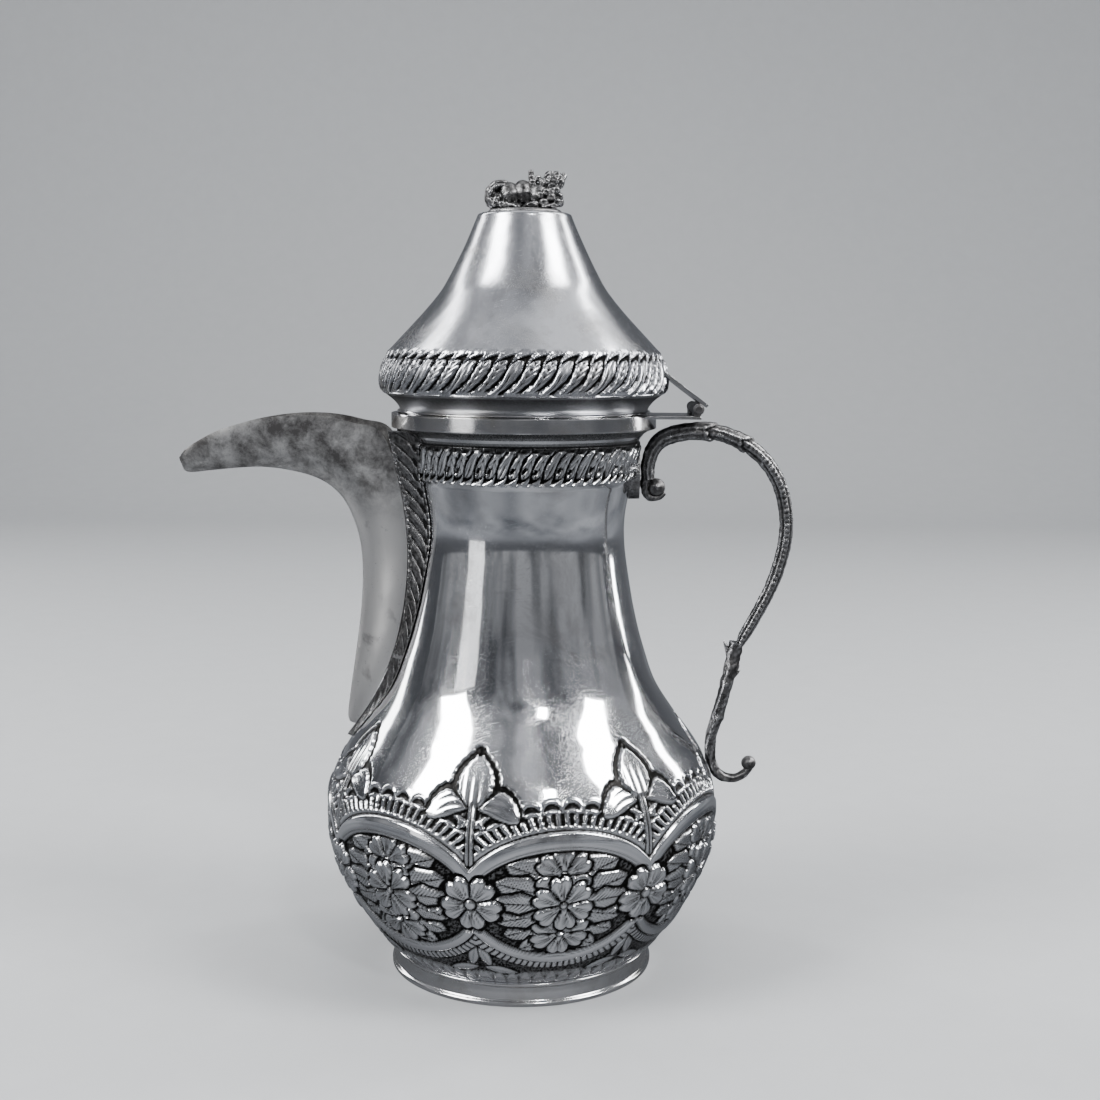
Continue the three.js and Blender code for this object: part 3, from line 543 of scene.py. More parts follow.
def chase_leaf_band(turn, share, count, slant, tips_low):
    """A band of overlapping S-curved leaves that lean to the right.

    `share` runs from the band's lower to its upper edge, and `slant` is the lean in leaf widths. The
    round tips, each under a black crescent, are on the upper edge, or on the lower one if `tips_low`.
    """
    relief = Relief(np.broadcast(turn, share).shape)
    centre = 2 * share - 1
    lean = slant / 2 * centre * (0.5 + 0.5 * centre ** 2)
    place = turn * count / TAU - lean
    near = place % 1
    leaf_number = np.floor(place) % count
    end = (1 - share) if tips_low else share
    teeth = 0.02 * np.sin(TAU * (5.5 * share + 0.37 * leaf_number))
    gap = 0.10 + 0.34 * smoothstep(0.62, 0.08, end) * smoothstep(-0.05, 0.12, end) + teeth
    across = (1 - near) / (1 - gap) if tips_low else near / (1 - gap)
    inside = smoothstep(1.06, 0.95, across) * smoothstep(0.0, 0.05, across)
    body = 0.66 * smoothstep(-0.05, 0.2, across) * (1 - 0.6 * across ** 2)
    rib = bell(across - 0.48, 0.075)
    along_leaf = (5.0 if tips_low else 6.4) * end
    veins = np.sin(TAU * (along_leaf - 2.3 * np.abs(across - 0.48)))
    streaks = np.sin(TAU * (across * 2.6 + 1.6 * share))
    detail = np.where(leaf_number % 3 < 2, veins, streaks)
    tip = 0.84 - 0.17 * np.abs(2 * across - 0.9) ** 2.2
    past = end - tip
    on = smoothstep(0.015, -0.015, past)
    height = inside * (body + 0.08 * detail - 0.16 * rib) - 0.38 * (1 - inside)
    dark = 1 - inside * (1 - np.clip(0.7 * rib + 0.72 * np.clip(-detail, 0, 1) ** 2, 0, 1))
    fade = 0.05 + 0.05 * np.sin(leaf_number * 2.1) + (0.1 if tips_low else 0.0)
    foot = smoothstep(fade, fade + 0.08, end)
    relief.lay(on * foot, height, dark)
    if tips_low:
        relief.dark = np.maximum(relief.dark, 0.9 * (1 - foot))
    crescent = bump(past, 0.06, 0.1)
    relief.cut(crescent, 0.6, np.clip(2.8 * crescent, 0, 1))
    relief.burr(bump(past, 0.17, 0.055), 0.08 if tips_low else 0.26, 0.9)
    if tips_low:
        hole_place = end - 0.62 - 0.05 * np.sin(2.1 * leaf_number)
        hole = np.hypot((across - 0.7) / 0.17, hole_place / 0.08)
        pierced = smoothstep(1.2, 0.8, hole) * (leaf_number % 3 < 2)
        relief.lay(pierced, -0.4, 0.8)
    return relief


# ------------------------------------------------------------------ materials


def node(tree, kind, inputs=None, **settings):
    """A shader node with its settings, and each input either linked or set."""
    made = tree.nodes.new(kind)
    for key, value in settings.items():
        setattr(made, key, value)
    for key, value in (inputs or {}).items():
        if isinstance(value, bpy.types.NodeSocket):
            tree.links.new(value, made.inputs[key])
        else:
            made.inputs[key].default_value = value
    return made


def math_node(tree, operation, a, b=0.0, clamp=False):
    return node(tree, "ShaderNodeMath", {0: a, 1: b}, operation=operation, use_clamp=clamp).outputs[0]


def remap(tree, value, low, high, to_low=0.0, to_high=1.0):
    inputs = {0: value, 1: low, 2: high, 3: to_low, 4: to_high}
    return node(tree, "ShaderNodeMapRange", inputs, clamp=True).outputs[0]


def mix_colour(tree, share, a, b):
    return node(tree, "ShaderNodeMix", {0: share, 6: a, 7: b}, data_type="RGBA").outputs[2]


def noise(tree, place, scale, detail=4.0, rough=0.55, warp=0.0):
    return node(tree, "ShaderNodeTexNoise", {
        "Vector": place, "Scale": scale, "Detail": detail, "Roughness": rough, "Distortion": warp,
    }).outputs[0]


def stretched(tree, place, scale, turn=(0, 0, 0)):
    """Millimetre coordinates turned and then scaled, for marks that run one way."""
    turned_place = node(tree, "ShaderNodeMapping", {"Vector": place, "Rotation": turn}).outputs[0]
    return node(tree, "ShaderNodeMapping", {"Vector": turned_place, "Scale": scale}).outputs[0]


def bumped(tree, height, strength, distance, below=None):
    inputs = {"Height": height, "Strength": strength, "Distance": distance * MM}
    if below is not None:
        inputs["Normal"] = below
    return node(tree, "ShaderNodeBump", inputs).outputs[0]


# Black of the blackened hollows; the painted shade in the coves of the body and lid takes this colour
# too.
OXIDE_AND_SHADE_BLACK = (0.012, 0.0115, 0.011, 1)


def new_tree(owner):
    """The empty node tree of a new material or world."""
    owner.use_nodes = True
    owner.node_tree.nodes.clear()
    return owner.node_tree


def dulled_share(tree, place, blotch):
    """Where the metal has dulled: cloudy patches, small spots, and the mottle of the `dull` places."""
    clouds = noise(tree, place, 0.055, 6, 0.62, 0.6)
    dulled = remap(tree, clouds, 0.62 - 0.4 * blotch, 0.8 - 0.3 * blotch)
    spots = remap(tree, noise(tree, place, 0.8, 3, 0.6), 0.66, 0.74)
    dulled = math_node(tree, "MAXIMUM", dulled, math_node(tree, "MULTIPLY", spots, blotch))
    handled = node(tree, "ShaderNodeAttribute", attribute_name="dull").outputs["Fac"]
    mottle = remap(tree, noise(tree, place, 0.11, 8, 0.74, 0.15), 0.36, 0.6)
    return math_node(tree, "MAXIMUM", dulled, math_node(tree, "MULTIPLY", handled, mottle))


def oxide_and_shade_share(tree, place, oxide_and_shade, cast):
    """Where the metal is black: the `dark` places (blackened hollows, painted shade in the coves), and
    on a casting also the grime off its edges.
    """
    dark = node(tree, "ShaderNodeAttribute", attribute_name="dark").outputs["Fac"]
    wear = remap(tree, noise(tree, place, 1.3, 5, 0.7), 0.3, 0.7, 0.93, 1.12)
    dark = math_node(tree, "MULTIPLY", dark, wear, clamp=True)
    if cast:
        grime = remap(tree, noise(tree, place, 0.5, 5, 0.7, 0.4), 0.36, 0.64, 0.66, 0.97)
        dark = math_node(tree, "MAXIMUM", dark, grime)
        point = node(tree, "ShaderNodeNewGeometry").outputs["Pointiness"]
        worn = remap(tree, point, 0.505, 0.55, 1.0, 0.3)
        dark = math_node(tree, "MULTIPLY", dark, worn)
    return math_node(tree, "MULTIPLY", dark, oxide_and_shade, clamp=True)


SCRATCH_WAYS = (  # how the three sets of scratches are turned, and how fine they are
    ((0.3, 0.2, 0.1), 0.9),
    ((1.2, 0.4, 2.0), 1.4),
    ((0.1, 1.3, 1.1), 1.1),
)


def scratch_lines(tree, place):
    scratches = None
    for turn, fine in SCRATCH_WAYS:
        lines = noise(tree, stretched(tree, place, (0.05, 4.5 * fine, 4.5), turn), 1.0, 2, 0.5)
        lines = remap(tree, lines, 0.66, 0.72)
        scratches = lines if scratches is None else math_node(tree, "MAXIMUM", scratches, lines)
    return scratches


def silver(name, colour, tarnish, shine, marks, oxide_and_shade, cast=0.0, brush=None, blotch=0.35):
    """A silver surface.

    colour, tarnish: the clean and the dulled metal. shine: roughness where clean and where dull.
    marks: depth of scratches in mm. oxide_and_shade: how strongly the `dark` places, blackened hollows
    and painted shade in the coves, show black.
    cast: depth of casting grain in mm. brush: stretch of the polishing lines along each axis.
    blotch: how much of the surface has dulled.
    """
    material = bpy.data.materials.new(name)
    tree = new_tree(material)
    place = node(tree, "ShaderNodeTexCoord").outputs["Object"]
    place = node(tree, "ShaderNodeMapping", {"Vector": place, "Scale": (1 / MM,) * 3}).outputs[0]
    dulled = dulled_share(tree, place, blotch)
    metal = mix_colour(tree, dulled, (*colour, 1), (*tarnish, 1))
    dark = oxide_and_shade_share(tree, place, oxide_and_shade, cast)
    colour_out = mix_colour(tree, dark, metal, OXIDE_AND_SHADE_BLACK)
    fine = noise(tree, place, 2.2, 5, 0.6)
    rough = remap(tree, dulled, 0.0, 1.0, shine[0], shine[1])
    rough = math_node(tree, "ADD", rough, remap(tree, fine, 0.3, 0.75, -0.02, 0.06))
    matt = 0.05 if cast else 0.26  # how much rougher the black is
    rough = math_node(tree, "ADD", rough, math_node(tree, "MULTIPLY", dark, matt), clamp=True)
    scratches = scratch_lines(tree, place)
    rough = math_node(tree, "ADD", rough, math_node(tree, "MULTIPLY", scratches, 0.07), clamp=True)
    normal = bumped(tree, scratches, 0.5, -marks)
    normal = bumped(tree, noise(tree, place, 0.9, 4, 0.5), 0.5, 0.7 * marks, normal)
    if brush:
        lines = noise(tree, stretched(tree, place, brush), 1.0, 4, 0.65)
        normal = bumped(tree, lines, 0.6, 2.2 * marks, normal)
        rough = math_node(tree, "ADD", rough, remap(tree, lines, 0.35, 0.7, -0.02, 0.03), clamp=True)
    if cast:
        grain = noise(tree, place, 1.1, 6, 0.72), noise(tree, place, 3.4, 3, 0.6)
        normal = bumped(tree, math_node(tree, "ADD", *grain), 0.8, cast, normal)
    shader = node(tree, "ShaderNodeBsdfPrincipled", {
        "Base Color": colour_out, "Roughness": rough, "Normal": normal,
        "Metallic": remap(tree, dark, 0.0, 1.0, 1.0, 0.85),
    })
    node(tree, "ShaderNodeOutputMaterial", {"Surface": shader.outputs[0]})
    return material


def polished_silver():
    return silver("polished_silver", (0.86, 0.87, 0.89), (0.66, 0.66, 0.67), (0.055, 0.15), 0.012, 1.0,
                  blotch=0.25)


def satin_silver():
    return silver("satin_silver", (0.64, 0.65, 0.68), (0.50, 0.50, 0.51), (0.20, 0.27), 0.0035, 1.0,
                  brush=(0.9, 0.9, 0.12), blotch=0.3)


def brushed_silver():
    return silver("brushed_silver", (0.80, 0.80, 0.81), (0.60, 0.59, 0.57), (0.12, 0.20), 0.006, 0.95,
                  brush=(0.07, 0.07, 5.0), blotch=0.35)


def tarnished_silver():
    return silver("tarnished_silver", (0.88, 0.87, 0.85), (0.25, 0.24, 0.235), (0.30, 0.32), 0.010, 0.9,
                  brush=(0.3, 1.5, 0.3), blotch=0.08)


def oxidised_silver():
    return silver("oxidised_silver", (0.74, 0.74, 0.75), (0.44, 0.43, 0.43), (0.20, 0.32), 0.014, 0.96,
                  cast=0.09, blotch=0.5)


SILVERS = {
    "polished_silver": polished_silver(),
    "satin_silver": satin_silver(),
    "brushed_silver": brushed_silver(),
    "tarnished_silver": tarnished_silver(),
    "oxidised_silver": oxidised_silver(),
}

# ------------------------------------------------------------------ body and lid


def section_rows(outline, low, high, spacing):
    """The part of a smooth outline between two heights, with even spacing."""
    dense = respaced(catmull(outline, 40), 0.05)
    dense = dense[(dense[:, 1] >= low) & (dense[:, 1] <= high)]
    return respaced(dense, spacing)


def spun(outline, turn, moved=0.0):
    """Points of a turned surface, each moved along the outline's normal by a distance in mm."""
    normal = sideways(outline)
    radius = outline[:, 0][:, None] + normal[:, 0][:, None] * moved
    height = outline[:, 1][:, None] + normal[:, 1][:, None] * moved
    return swept(radius, height, turn)


def blackened(relief):
    """A relief's blackening, with more of it where a place lies below its surroundings."""
    hollow = np.clip(blurred(relief.height, 6) - relief.height, 0, None)
    return np.clip(relief.dark + 1.5 * hollow, 0, 1)


def band_share(run):
    """How far up its band each row is, from 0 to 1."""
    return (run - run[0]) / (run[-1] - run[0])


def between(corners, low=-math.inf, high=math.inf):
    """The corners of an outline between two heights."""
    return corners[(corners[:, 1] > low) & (corners[:, 1] < high)]


COLUMNS = 840
TURN = round_trip(COLUMNS)
NECK_LEAVES = 64
LID_LEAVES = 57

# Heights at which the body changes from skirt to chased belly, plain neck, leaf band and mouth
SKIRT_TOP = 7.3
CHASED_TOP = 96
NECK_BAND = 169
MOUTH_LOW = 182
# Heights at which the lid changes from cove to leaf band, cone and top
COVE_TOP = 197.5
LID_BAND_TOP = 211.9
CONE_TOP = 256

BODY_CORNERS = cad_outline("body_shell")
BODY_WALL = between(BODY_CORNERS, SKIRT_TOP, NECK_BAND)


def make_body():
    skirt = between(BODY_CORNERS, high=SKIRT_TOP)
    band = between(BODY_CORNERS, NECK_BAND, MOUTH_LOW)
    mouth = between(BODY_CORNERS, MOUTH_LOW)
    parts = [
        respaced(skirt, 1.2),
        section_rows(BODY_WALL, 7.4, CHASED_TOP, 0.44),
        section_rows(BODY_WALL, CHASED_TOP, 168.8, 1.5)[1:],
        section_rows(band, NECK_BAND, 181.9, 0.42),
        respaced(catmull(mouth[:-1], 8), 0.6),
        mouth[-1:],
    ]
    outline = np.vstack(parts)
    marks = np.cumsum([0] + [len(p) for p in parts])
    radius = outline[:, 0][:, None]
    height = outline[:, 1][:, None]
    run = along(outline)[:, None]
    middle = np.interp(OVAL_MIDDLE, outline[:marks[3], 1], run[:marks[3], 0])
    moved = np.zeros((len(outline), COLUMNS))
    dark = np.zeros((len(outline), COLUMNS))
    low, high = marks[1], marks[2]
    belly = chase_belly(TURN, run[low:high] - middle, height[low:high], radius[low:high])
    edge = smoothstep(7.6, 9.0, height[low:high])
    moved[low:high] = belly.height * edge
    dark[low:high] = blackened(belly)
    low, high = marks[3], marks[4]
    leaves = chase_leaf_band(TURN, band_share(run[low:high]), NECK_LEAVES, 2.2, True)
    moved[low:high] = leaves.height - 0.2
    dark[low:high] = blackened(leaves)
    # Painted shade: the cove between the neck's leaf band and the mouth collar is blackened to 0.7 to
    # stand for the shade under the collar.
    cove = smoothstep(181.6, 182.2, height) * smoothstep(188, 187, height)
    dark = np.maximum(dark, 0.7 * cove)
    calm = smoothstep(60, 96, height) * smoothstep(181, 168, height)
    plain = spun(outline, TURN)
    beaten = 0.026 * waves(plain, 22.0, 5) + 0.008 * waves(plain, 8.0, 6)
    beaten = beaten * (0.35 + 0.65 * calm) * smoothstep(7.5, 12, height)
    moved = moved + beaten * smoothstep(186, MOUTH_LOW, height)
    outer = spun(outline, TURN, moved)
    inside = np.vstack([mouth[-1:], mouth[-2:-1], mouth[:1], BODY_WALL[::-1], skirt[-1:], skirt[:1]])
    inside = respaced(inside, 6.0)
    thick = SHEET + 0.9 * bump(inside[:, 1], 45, 60)
    inner = spun(inside, TURN, thick[:, None])
    points = np.vstack([outer, inner])
    dark = np.vstack([dark, np.full((len(inside), COLUMNS), 0.25)])
    dress(ring_object("chased_body", points, {"dark": dark}, 50), "body_shell", "polished_silver")


def make_lid():
    corners = cad_outline("lid_dome")
    cove = between(corners, high=COVE_TOP)
    band = between(corners, COVE_TOP, LID_BAND_TOP)
    cone = between(corners, LID_BAND_TOP, CONE_TOP)
    top = between(corners, CONE_TOP)
    top = top[np.argsort(-top[:, 0])]
    parts = [
        respaced(catmull(cove, 10), 0.5),
        respaced(catmull(band, 10), 0.34),
        respaced(catmull(cone, 10), 0.9),
        respaced(catmull(np.vstack([cone[-1:], top[top[:, 0] > 13]]), 6)[1:], 0.4),
        np.array([[9.0, top[-1, 1]], [1.75, top[-1, 1]]]),
    ]
    outline = np.vstack(parts)
    marks = np.cumsum([0] + [len(p) for p in parts])
    run = along(outline)[:, None]
    radius = outline[:, 0][:, None]
    height = outline[:, 1][:, None]
    moved = np.zeros((len(outline), COLUMNS))
    dark = np.zeros((len(outline), COLUMNS))
    low, high = marks[1], marks[2]
    leaves = chase_leaf_band(TURN, band_share(run[low:high]), LID_LEAVES, 2.6, False)
    moved[low:high] = 1.15 * leaves.height - 0.25
    dark[low:high] = blackened(leaves)
    # Painted shade: the cove under the lid's leaf band is blackened, most just under the band and less
    # towards the flange, to stand for the shade beneath it.
    shade = 0.36 + 0.44 * smoothstep(192.5, 197, height)
    dark = np.maximum(dark, shade * smoothstep(197.8, 196.8, height))
    calm = smoothstep(212, 216, height) * smoothstep(3, 12, radius)
    plain = spun(outline, TURN)
    moved = moved + calm * (0.035 * waves(plain, 18.0, 8) + 0.012 * waves(plain, 7.0, 9))
    outer = spun(outline, TURN, moved)
    inside = np.vstack([top[-1:] * [0, 1] + [1.75, -1.0], [[13.6, 255.9]], cone[::-1] - [1.1, 0.4],
                        band[::-1] - [1.3, 0.0], cove[::-1] - [1.0, 0.0]])
    inner = spun(respaced(inside, 3.0), TURN)
    points = np.vstack([outer, inner])
    dark = np.vstack([dark, np.full((len(inner), COLUMNS), 0.3)])
    dress(ring_object("chased_lid", points, {"dark": dark}, 50), "lid_dome", "satin_silver")


EASED = 0.18  # how far the edges of plain strips are worn round
RING_COLUMNS = 360


def eased(section, width):
    """A closed section with its corners cut back along an arc."""
    out = []
    count = len(section)
    for i in range(count):
        before, here, after = section[i - 1], section[i], section[(i + 1) % count]
        back = before - here
        on = after - here
        cut = min(width, 0.4 * np.linalg.norm(back), 0.4 * np.linalg.norm(on))
        first = here + back / np.linalg.norm(back) * cut
        last = here + on / np.linalg.norm(on) * cut
        for t in (0.0, 0.33, 0.67, 1.0):
            out.append((1 - t) ** 2 * first + 2 * t * (1 - t) * here + t * t * last)
    return np.array(out)


def outer_radius(points):
    return np.hypot(points[..., 0], points[..., 1]).max()


def plain_ring(name, replaced, section, seed, uneven=0.03, slot="brushed_silver"):
    """A turned strip with worn edges and a slightly uneven surface."""
    outline = eased(np.asarray(section, float), EASED)
    outline = np.vstack([outline, outline[:1]])
    outline = respaced(outline, 0.25)[:-1]
    plain = spun(outline, round_trip(RING_COLUMNS))
    swell = 1 + uneven * waves(plain, 14.0, seed)[..., None] / outer_radius(plain)
    points = plain * [1, 1, 0] * swell
    points = points + plain * [0, 0, 1]
    dress(ring_object(name, points, None, 60), replaced, slot)


def span(name):
    """Outer radius, lowest and highest point of a round CAD node, in mm."""
    low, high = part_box(name)
    return high.x / MM, low.z / MM, high.z / MM


def box_section(inner, node_name):
    """The rectangle that a plain ring's section fills, from a bore out to the CAD's edge."""
    outer, low, high = span(node_name)
    return [[inner, low], [outer, low], [outer, high], [inner, high]]


def make_plain_rings():
    outer, low, high = span("foot_ring")
    plain_ring("foot_band", "foot_ring", [
        [42.9, low], [outer, low], [outer, 1.2], [outer - 0.9, 2.0], [outer - 1.15, 4.6],
        [outer - 1.0, 6.2], [outer - 0.3, 6.9], [outer - 0.4, 7.6], [outer - 1.0, high],
        [43.7, high], [42.9, 6.2],
    ], 21)
    outer, low, high = span("rim_collar")
    ledge = high - 0.85
    plain_ring("mouth_collar", "rim_collar", [
        [43.75, low], [outer, low], [outer, high], [42.3, high], [42.3, ledge], [43.75, ledge],
    ], 22)
    plain_ring("lid_flange_ring", "lid_flange", box_section(40.3, "lid_flange"), 23, 0.02)
    outer, low, high = span("lid_bezel")
    plain_ring("lid_bezel_tube", "lid_bezel", [
        [40.5, low], [outer - 0.4, low], [outer, low + 1.2], [outer, high], [40.5, high],
    ], 24, 0.015)
    plain_ring("bottom_disc", "base_disc", box_section(0.02, "base_disc"), 25, 0.0)
    plain_ring("finial_washer_ring", "finial_washer", box_section(1.7, "finial_washer"), 26, 0.0)
    outer, low, high = span("finial_base")
    plain_ring("finial_disc", "finial_base", [
        [1.7, low], [outer, low], [outer + 0.05, low + 0.5], [outer - 0.6, high], [1.7, high],
    ], 27, 0.06, "oxidised_silver")


# ------------------------------------------------------------------ stage


def facing(obj, target):
    obj.rotation_euler = (Vector(target) - obj.location).to_track_quat("-Z", "Y").to_euler()


def soft_box(name, azimuth, elevation, distance, size, power, target):
    """An area light round the pot; its azimuth grows from the camera's side towards the handle."""
    light = bpy.data.lights.new(name, "AREA")
    light.shape = "RECTANGLE"
    light.size, light.size_y = size
    light.energy = power
    obj = bpy.data.objects.new(name, light)
    flat = distance * math.cos(math.radians(elevation))
    obj.location = Vector(target) + Vector((
        flat * math.sin(math.radians(azimuth)),
        -flat * math.cos(math.radians(azimuth)),
        distance * math.sin(math.radians(elevation)),
    ))
    facing(obj, target)
    bpy.context.scene.collection.objects.link(obj)
    return obj


# The floor, in metres: half its width, where it starts to rise behind the pot, its bend and its top
FLOOR_HALF = 12.0
FLOOR_FLAT = 1.3
FLOOR_BEND = 0.8
FLOOR_TOP = 3.2


def pale_floor():
    """Pale to the camera; the metal mirrors it dimmed, as it would in a darker room."""
    material = bpy.data.materials.new("pale_floor")
    tree = new_tree(material)
    place = node(tree, "ShaderNodeTexCoord").outputs["Object"]
    grain = noise(tree, place, 60.0, 5, 0.6)
    tone = mix_colour(tree, grain, (0.47, 0.48, 0.49, 1), (0.51, 0.52, 0.53, 1))
    mirrored = node(tree, "ShaderNodeLightPath").outputs["Is Glossy Ray"]
    patches = remap(tree, noise(tree, place, 2.6, 2), 0.35, 0.65)
    dim = mix_colour(tree, patches, (0.06, 0.063, 0.069, 1), (0.2, 0.204, 0.212, 1))
    away = node(tree, "ShaderNodeVectorMath", {0: place}, operation="LENGTH").outputs["Value"]
    dim = mix_colour(tree, remap(tree, away, 0.4, 1.1), dim, (0.15, 0.154, 0.163, 1))
    tone = mix_colour(tree, mirrored, tone, dim)
    shader = node(tree, "ShaderNodeBsdfPrincipled", {
        "Base Color": tone, "Roughness": 0.75, "Normal": bumped(tree, grain, 0.2, 0.2),
        "Specular IOR Level": remap(tree, mirrored, 0.0, 1.0, 0.5, 0.0),
    })
    node(tree, "ShaderNodeOutputMaterial", {"Surface": shader.outputs[0]})
    return material


def make_floor():
    """A floor that sweeps up behind the pot."""
    turn = np.linspace(0, math.pi / 2, 24)
    sweep = [(-FLOOR_HALF, 0.0)]
    sweep += [(FLOOR_FLAT + FLOOR_BEND * math.sin(t), FLOOR_BEND * (1 - math.cos(t))) for t in turn]
    sweep += [(FLOOR_FLAT + FLOOR_BEND, FLOOR_TOP)]
    verts = [(side, y, z) for y, z in sweep for side in (-FLOOR_HALF, FLOOR_HALF)]
    faces = [(2 * i, 2 * i + 1, 2 * i + 3, 2 * i + 2) for i in range(len(sweep) - 1)]
    mesh = bpy.data.meshes.new("floor")
    mesh.from_pydata(verts, [], faces)
    mesh.shade_smooth()
    mesh.materials.append(pale_floor())
    floor = bpy.data.objects.new("floor", mesh)
    bpy.context.scene.collection.objects.link(floor)


def make_world():
    """Pale to the camera; the metal mirrors it pale above, and dimmer and patchy elsewhere."""
    world = bpy.data.worlds.new("studio")
    bpy.context.scene.world = world
    tree = new_tree(world)
    direction = node(tree, "ShaderNodeTexCoord").outputs["Generated"]
    parts = node(tree, "ShaderNodeSeparateXYZ", {0: direction})
    high = remap(tree, parts.outputs[2], 0.25, 0.95)
    tone = mix_colour(tree, high, (0.12, 0.124, 0.137, 1), (0.36, 0.368, 0.388, 1))
    near_floor = remap(tree, parts.outputs[2], 0.3, 0.0)
    tone = mix_colour(tree, near_floor, tone, (0.21, 0.215, 0.226, 1))
    upright = stretched(tree, direction, (1.0, 1.0, 0.55))
    patches = remap(tree, noise(tree, upright, 3.4, 2), 0.38, 0.62)
    darker = mix_colour(tree, 0.5, tone, (0, 0, 0, 1))
    lighter = mix_colour(tree, 0.12, tone, (1, 1, 1, 1))
    tone = mix_colour(tree, patches, darker, lighter)
    mirrored = node(tree, "ShaderNodeLightPath").outputs["Is Glossy Ray"]
    tone = mix_colour(tree, mirrored, (0.62, 0.625, 0.64, 1), tone)
    shader = node(tree, "ShaderNodeBackground", {"Color": tone, "Strength": 1.0})
    node(tree, "ShaderNodeOutputWorld", {"Surface": shader.outputs[0]})


def make_lights():
    middle = (0, 0, 0.13)
    soft_box("left_window", -62, 38, 1.3, (0.50, 0.80), 13, middle)
    soft_box("left_glow", -52, 4, 1.5, (0.5, 0.8), 1.3, middle)
    soft_box("left_rim", -124, 26, 1.3, (0.2, 1.3), 4, middle)
    soft_box("right_window", 68, 40, 1.4, (0.46, 0.8), 13, middle)
    soft_box("right_rim", 116, 26, 1.3, (0.14, 1.3), 5, middle)
    soft_box("front_pane", 20, 38, 1.4, (0.14, 0.20), 3.0, middle)
    soft_box("overhead", 160, 66, 1.5, (1.6, 1.6), 5, middle)


# The photo's camera: its place in metres, its lens in mm and its turns in degrees from straight down
CAMERA_PLACE = (0.00915, -0.531, 0.216)
CAMERA_LENS = 51.3
CAMERA_PITCH = 82.3
CAMERA_ROLL = 0.4


def make_camera():
    camera = bpy.data.objects.new("camera", bpy.data.cameras.new("camera"))
    camera.data.sensor_width = 36
    camera.data.lens = CAMERA_LENS
    camera.data.clip_start = 0.02
    pitch = Matrix.Rotation(math.radians(CAMERA_PITCH), 4, "X")
    roll = Matrix.Rotation(math.radians(CAMERA_ROLL), 4, "Z")
    camera.matrix_world = Matrix.Translation(CAMERA_PLACE) @ pitch @ roll
    bpy.context.scene.collection.objects.link(camera)
    bpy.context.scene.camera = camera


def make_view():
    bpy.context.scene.view_settings.look = "AgX - Medium High Contrast"


# ------------------------------------------------------------------ joining and cutting


def combine(obj, others, operation):
    """Joins closed bodies to one, or cuts them from it, and removes them."""
    for other in others:
        step = obj.modifiers.new("step", "BOOLEAN")
        step.operation = operation
        step.solver = "MANIFOLD"
        step.object = other
    bpy.context.view_layer.update()
    shape = obj.evaluated_get(bpy.context.evaluated_depsgraph_get())
    mesh = bpy.data.meshes.new_from_object(shape)
    obj.modifiers.clear()
    obj.data = mesh
    for other in others:
        bpy.data.objects.remove(other)
    return obj


def carry(obj, points, dark, label="dark"):
    """Gives each corner of a mesh the blackening, or another label, of the nearest of the points."""
    flat = points.reshape(-1, 3) * MM
    values = np.broadcast_to(dark, points.shape[:-1]).ravel()
    tree = KDTree(len(flat))
    for i, point in enumerate(flat):
        tree.insert(point, i)
    tree.balance()
    layer = obj.data.attributes.get(label) or obj.data.attributes.new(label, "FLOAT", "POINT")
    nearest = [values[tree.find(v.co)[1]] for v in obj.data.vertices]
    layer.data.foreach_set("value", nearest)
    obj.data.shade_smooth()
    obj.data.set_sharp_from_angle(angle=math.radians(42))


CLEAR = 0.3  # clearance between a piece and the neighbour that shapes it
BODY_TOP = between(BODY_CORNERS, NECK_BAND)


def turned_solid(corners, grown):
    """A solid turned from an outline, grown by a distance, used to cut its neighbours."""
    outline = np.asarray(corners, float)
    outline = outline + sideways(outline) * grown
    rows = np.vstack([[[0.01, outline[0, 1]]], outline, [[0.01, outline[-1, 1]]]])
    return tube_object("cutter", swept(rows[:, :1], rows[:, 1:], round_trip(240)))


def body_cutter(grown):
    return turned_solid(np.vstack([respaced(catmull(BODY_WALL, 8), 1.0), BODY_TOP]), grown)


def radius_at(height):
    """The body's outer radius at a height."""
    dense = np.vstack([catmull(BODY_WALL, 10), BODY_TOP])
    return np.interp(height, dense[:, 1], dense[:, 0])


# ------------------------------------------------------------------ beak and saddle

BEAK_SHEET = 1.1
BEAK_FOLD = 1.7  # the fold is thicker across than the cheeks
BEAK_ROUNDNESS = 1.7
# Keel, edge and half width along the beak: first its open top, then the joint with the body
BEAK = [
    ((-116.2, 173.2), (-116.5, 175.2), 1.4),
    ((-114.2, 170.2), (-113.2, 178.6), 3.4),
    ((-106.5, 170.7), (-104.5, 183.6), 5.6),
    ((-98.0, 171.6), (-96.0, 186.7), 7.6),
    ((-88.0, 172.0), (-87.0, 188.8), 9.4),
    ((-77.0, 170.5), (-77.0, 190.0), 11.0),
    ((-68.0, 167.4), (-66.5, 189.8), 12.4),
    ((-61.5, 161.8), (-56.0, 187.8), 13.6),
    ((-57.4, 153.5), (-46.2, 184.2), 14.4),
    ((-55.4, 145.0), (-41.0, 168.0), 12.9),
    ((-54.9, 135.5), (-38.6, 149.0), 11.6),
    ((-55.6, 123.0), (-39.6, 129.0), 11.0),
    ((-57.4, 109.0), (-43.8, 110.0), 9.8),
    ((-59.3, 96.0), (-50.0, 95.5), 7.0),
    ((-60.4, 87.0), (-56.2, 85.0), 3.4),
    ((-60.0, 84.2), (-58.6, 83.6), 1.2),
]
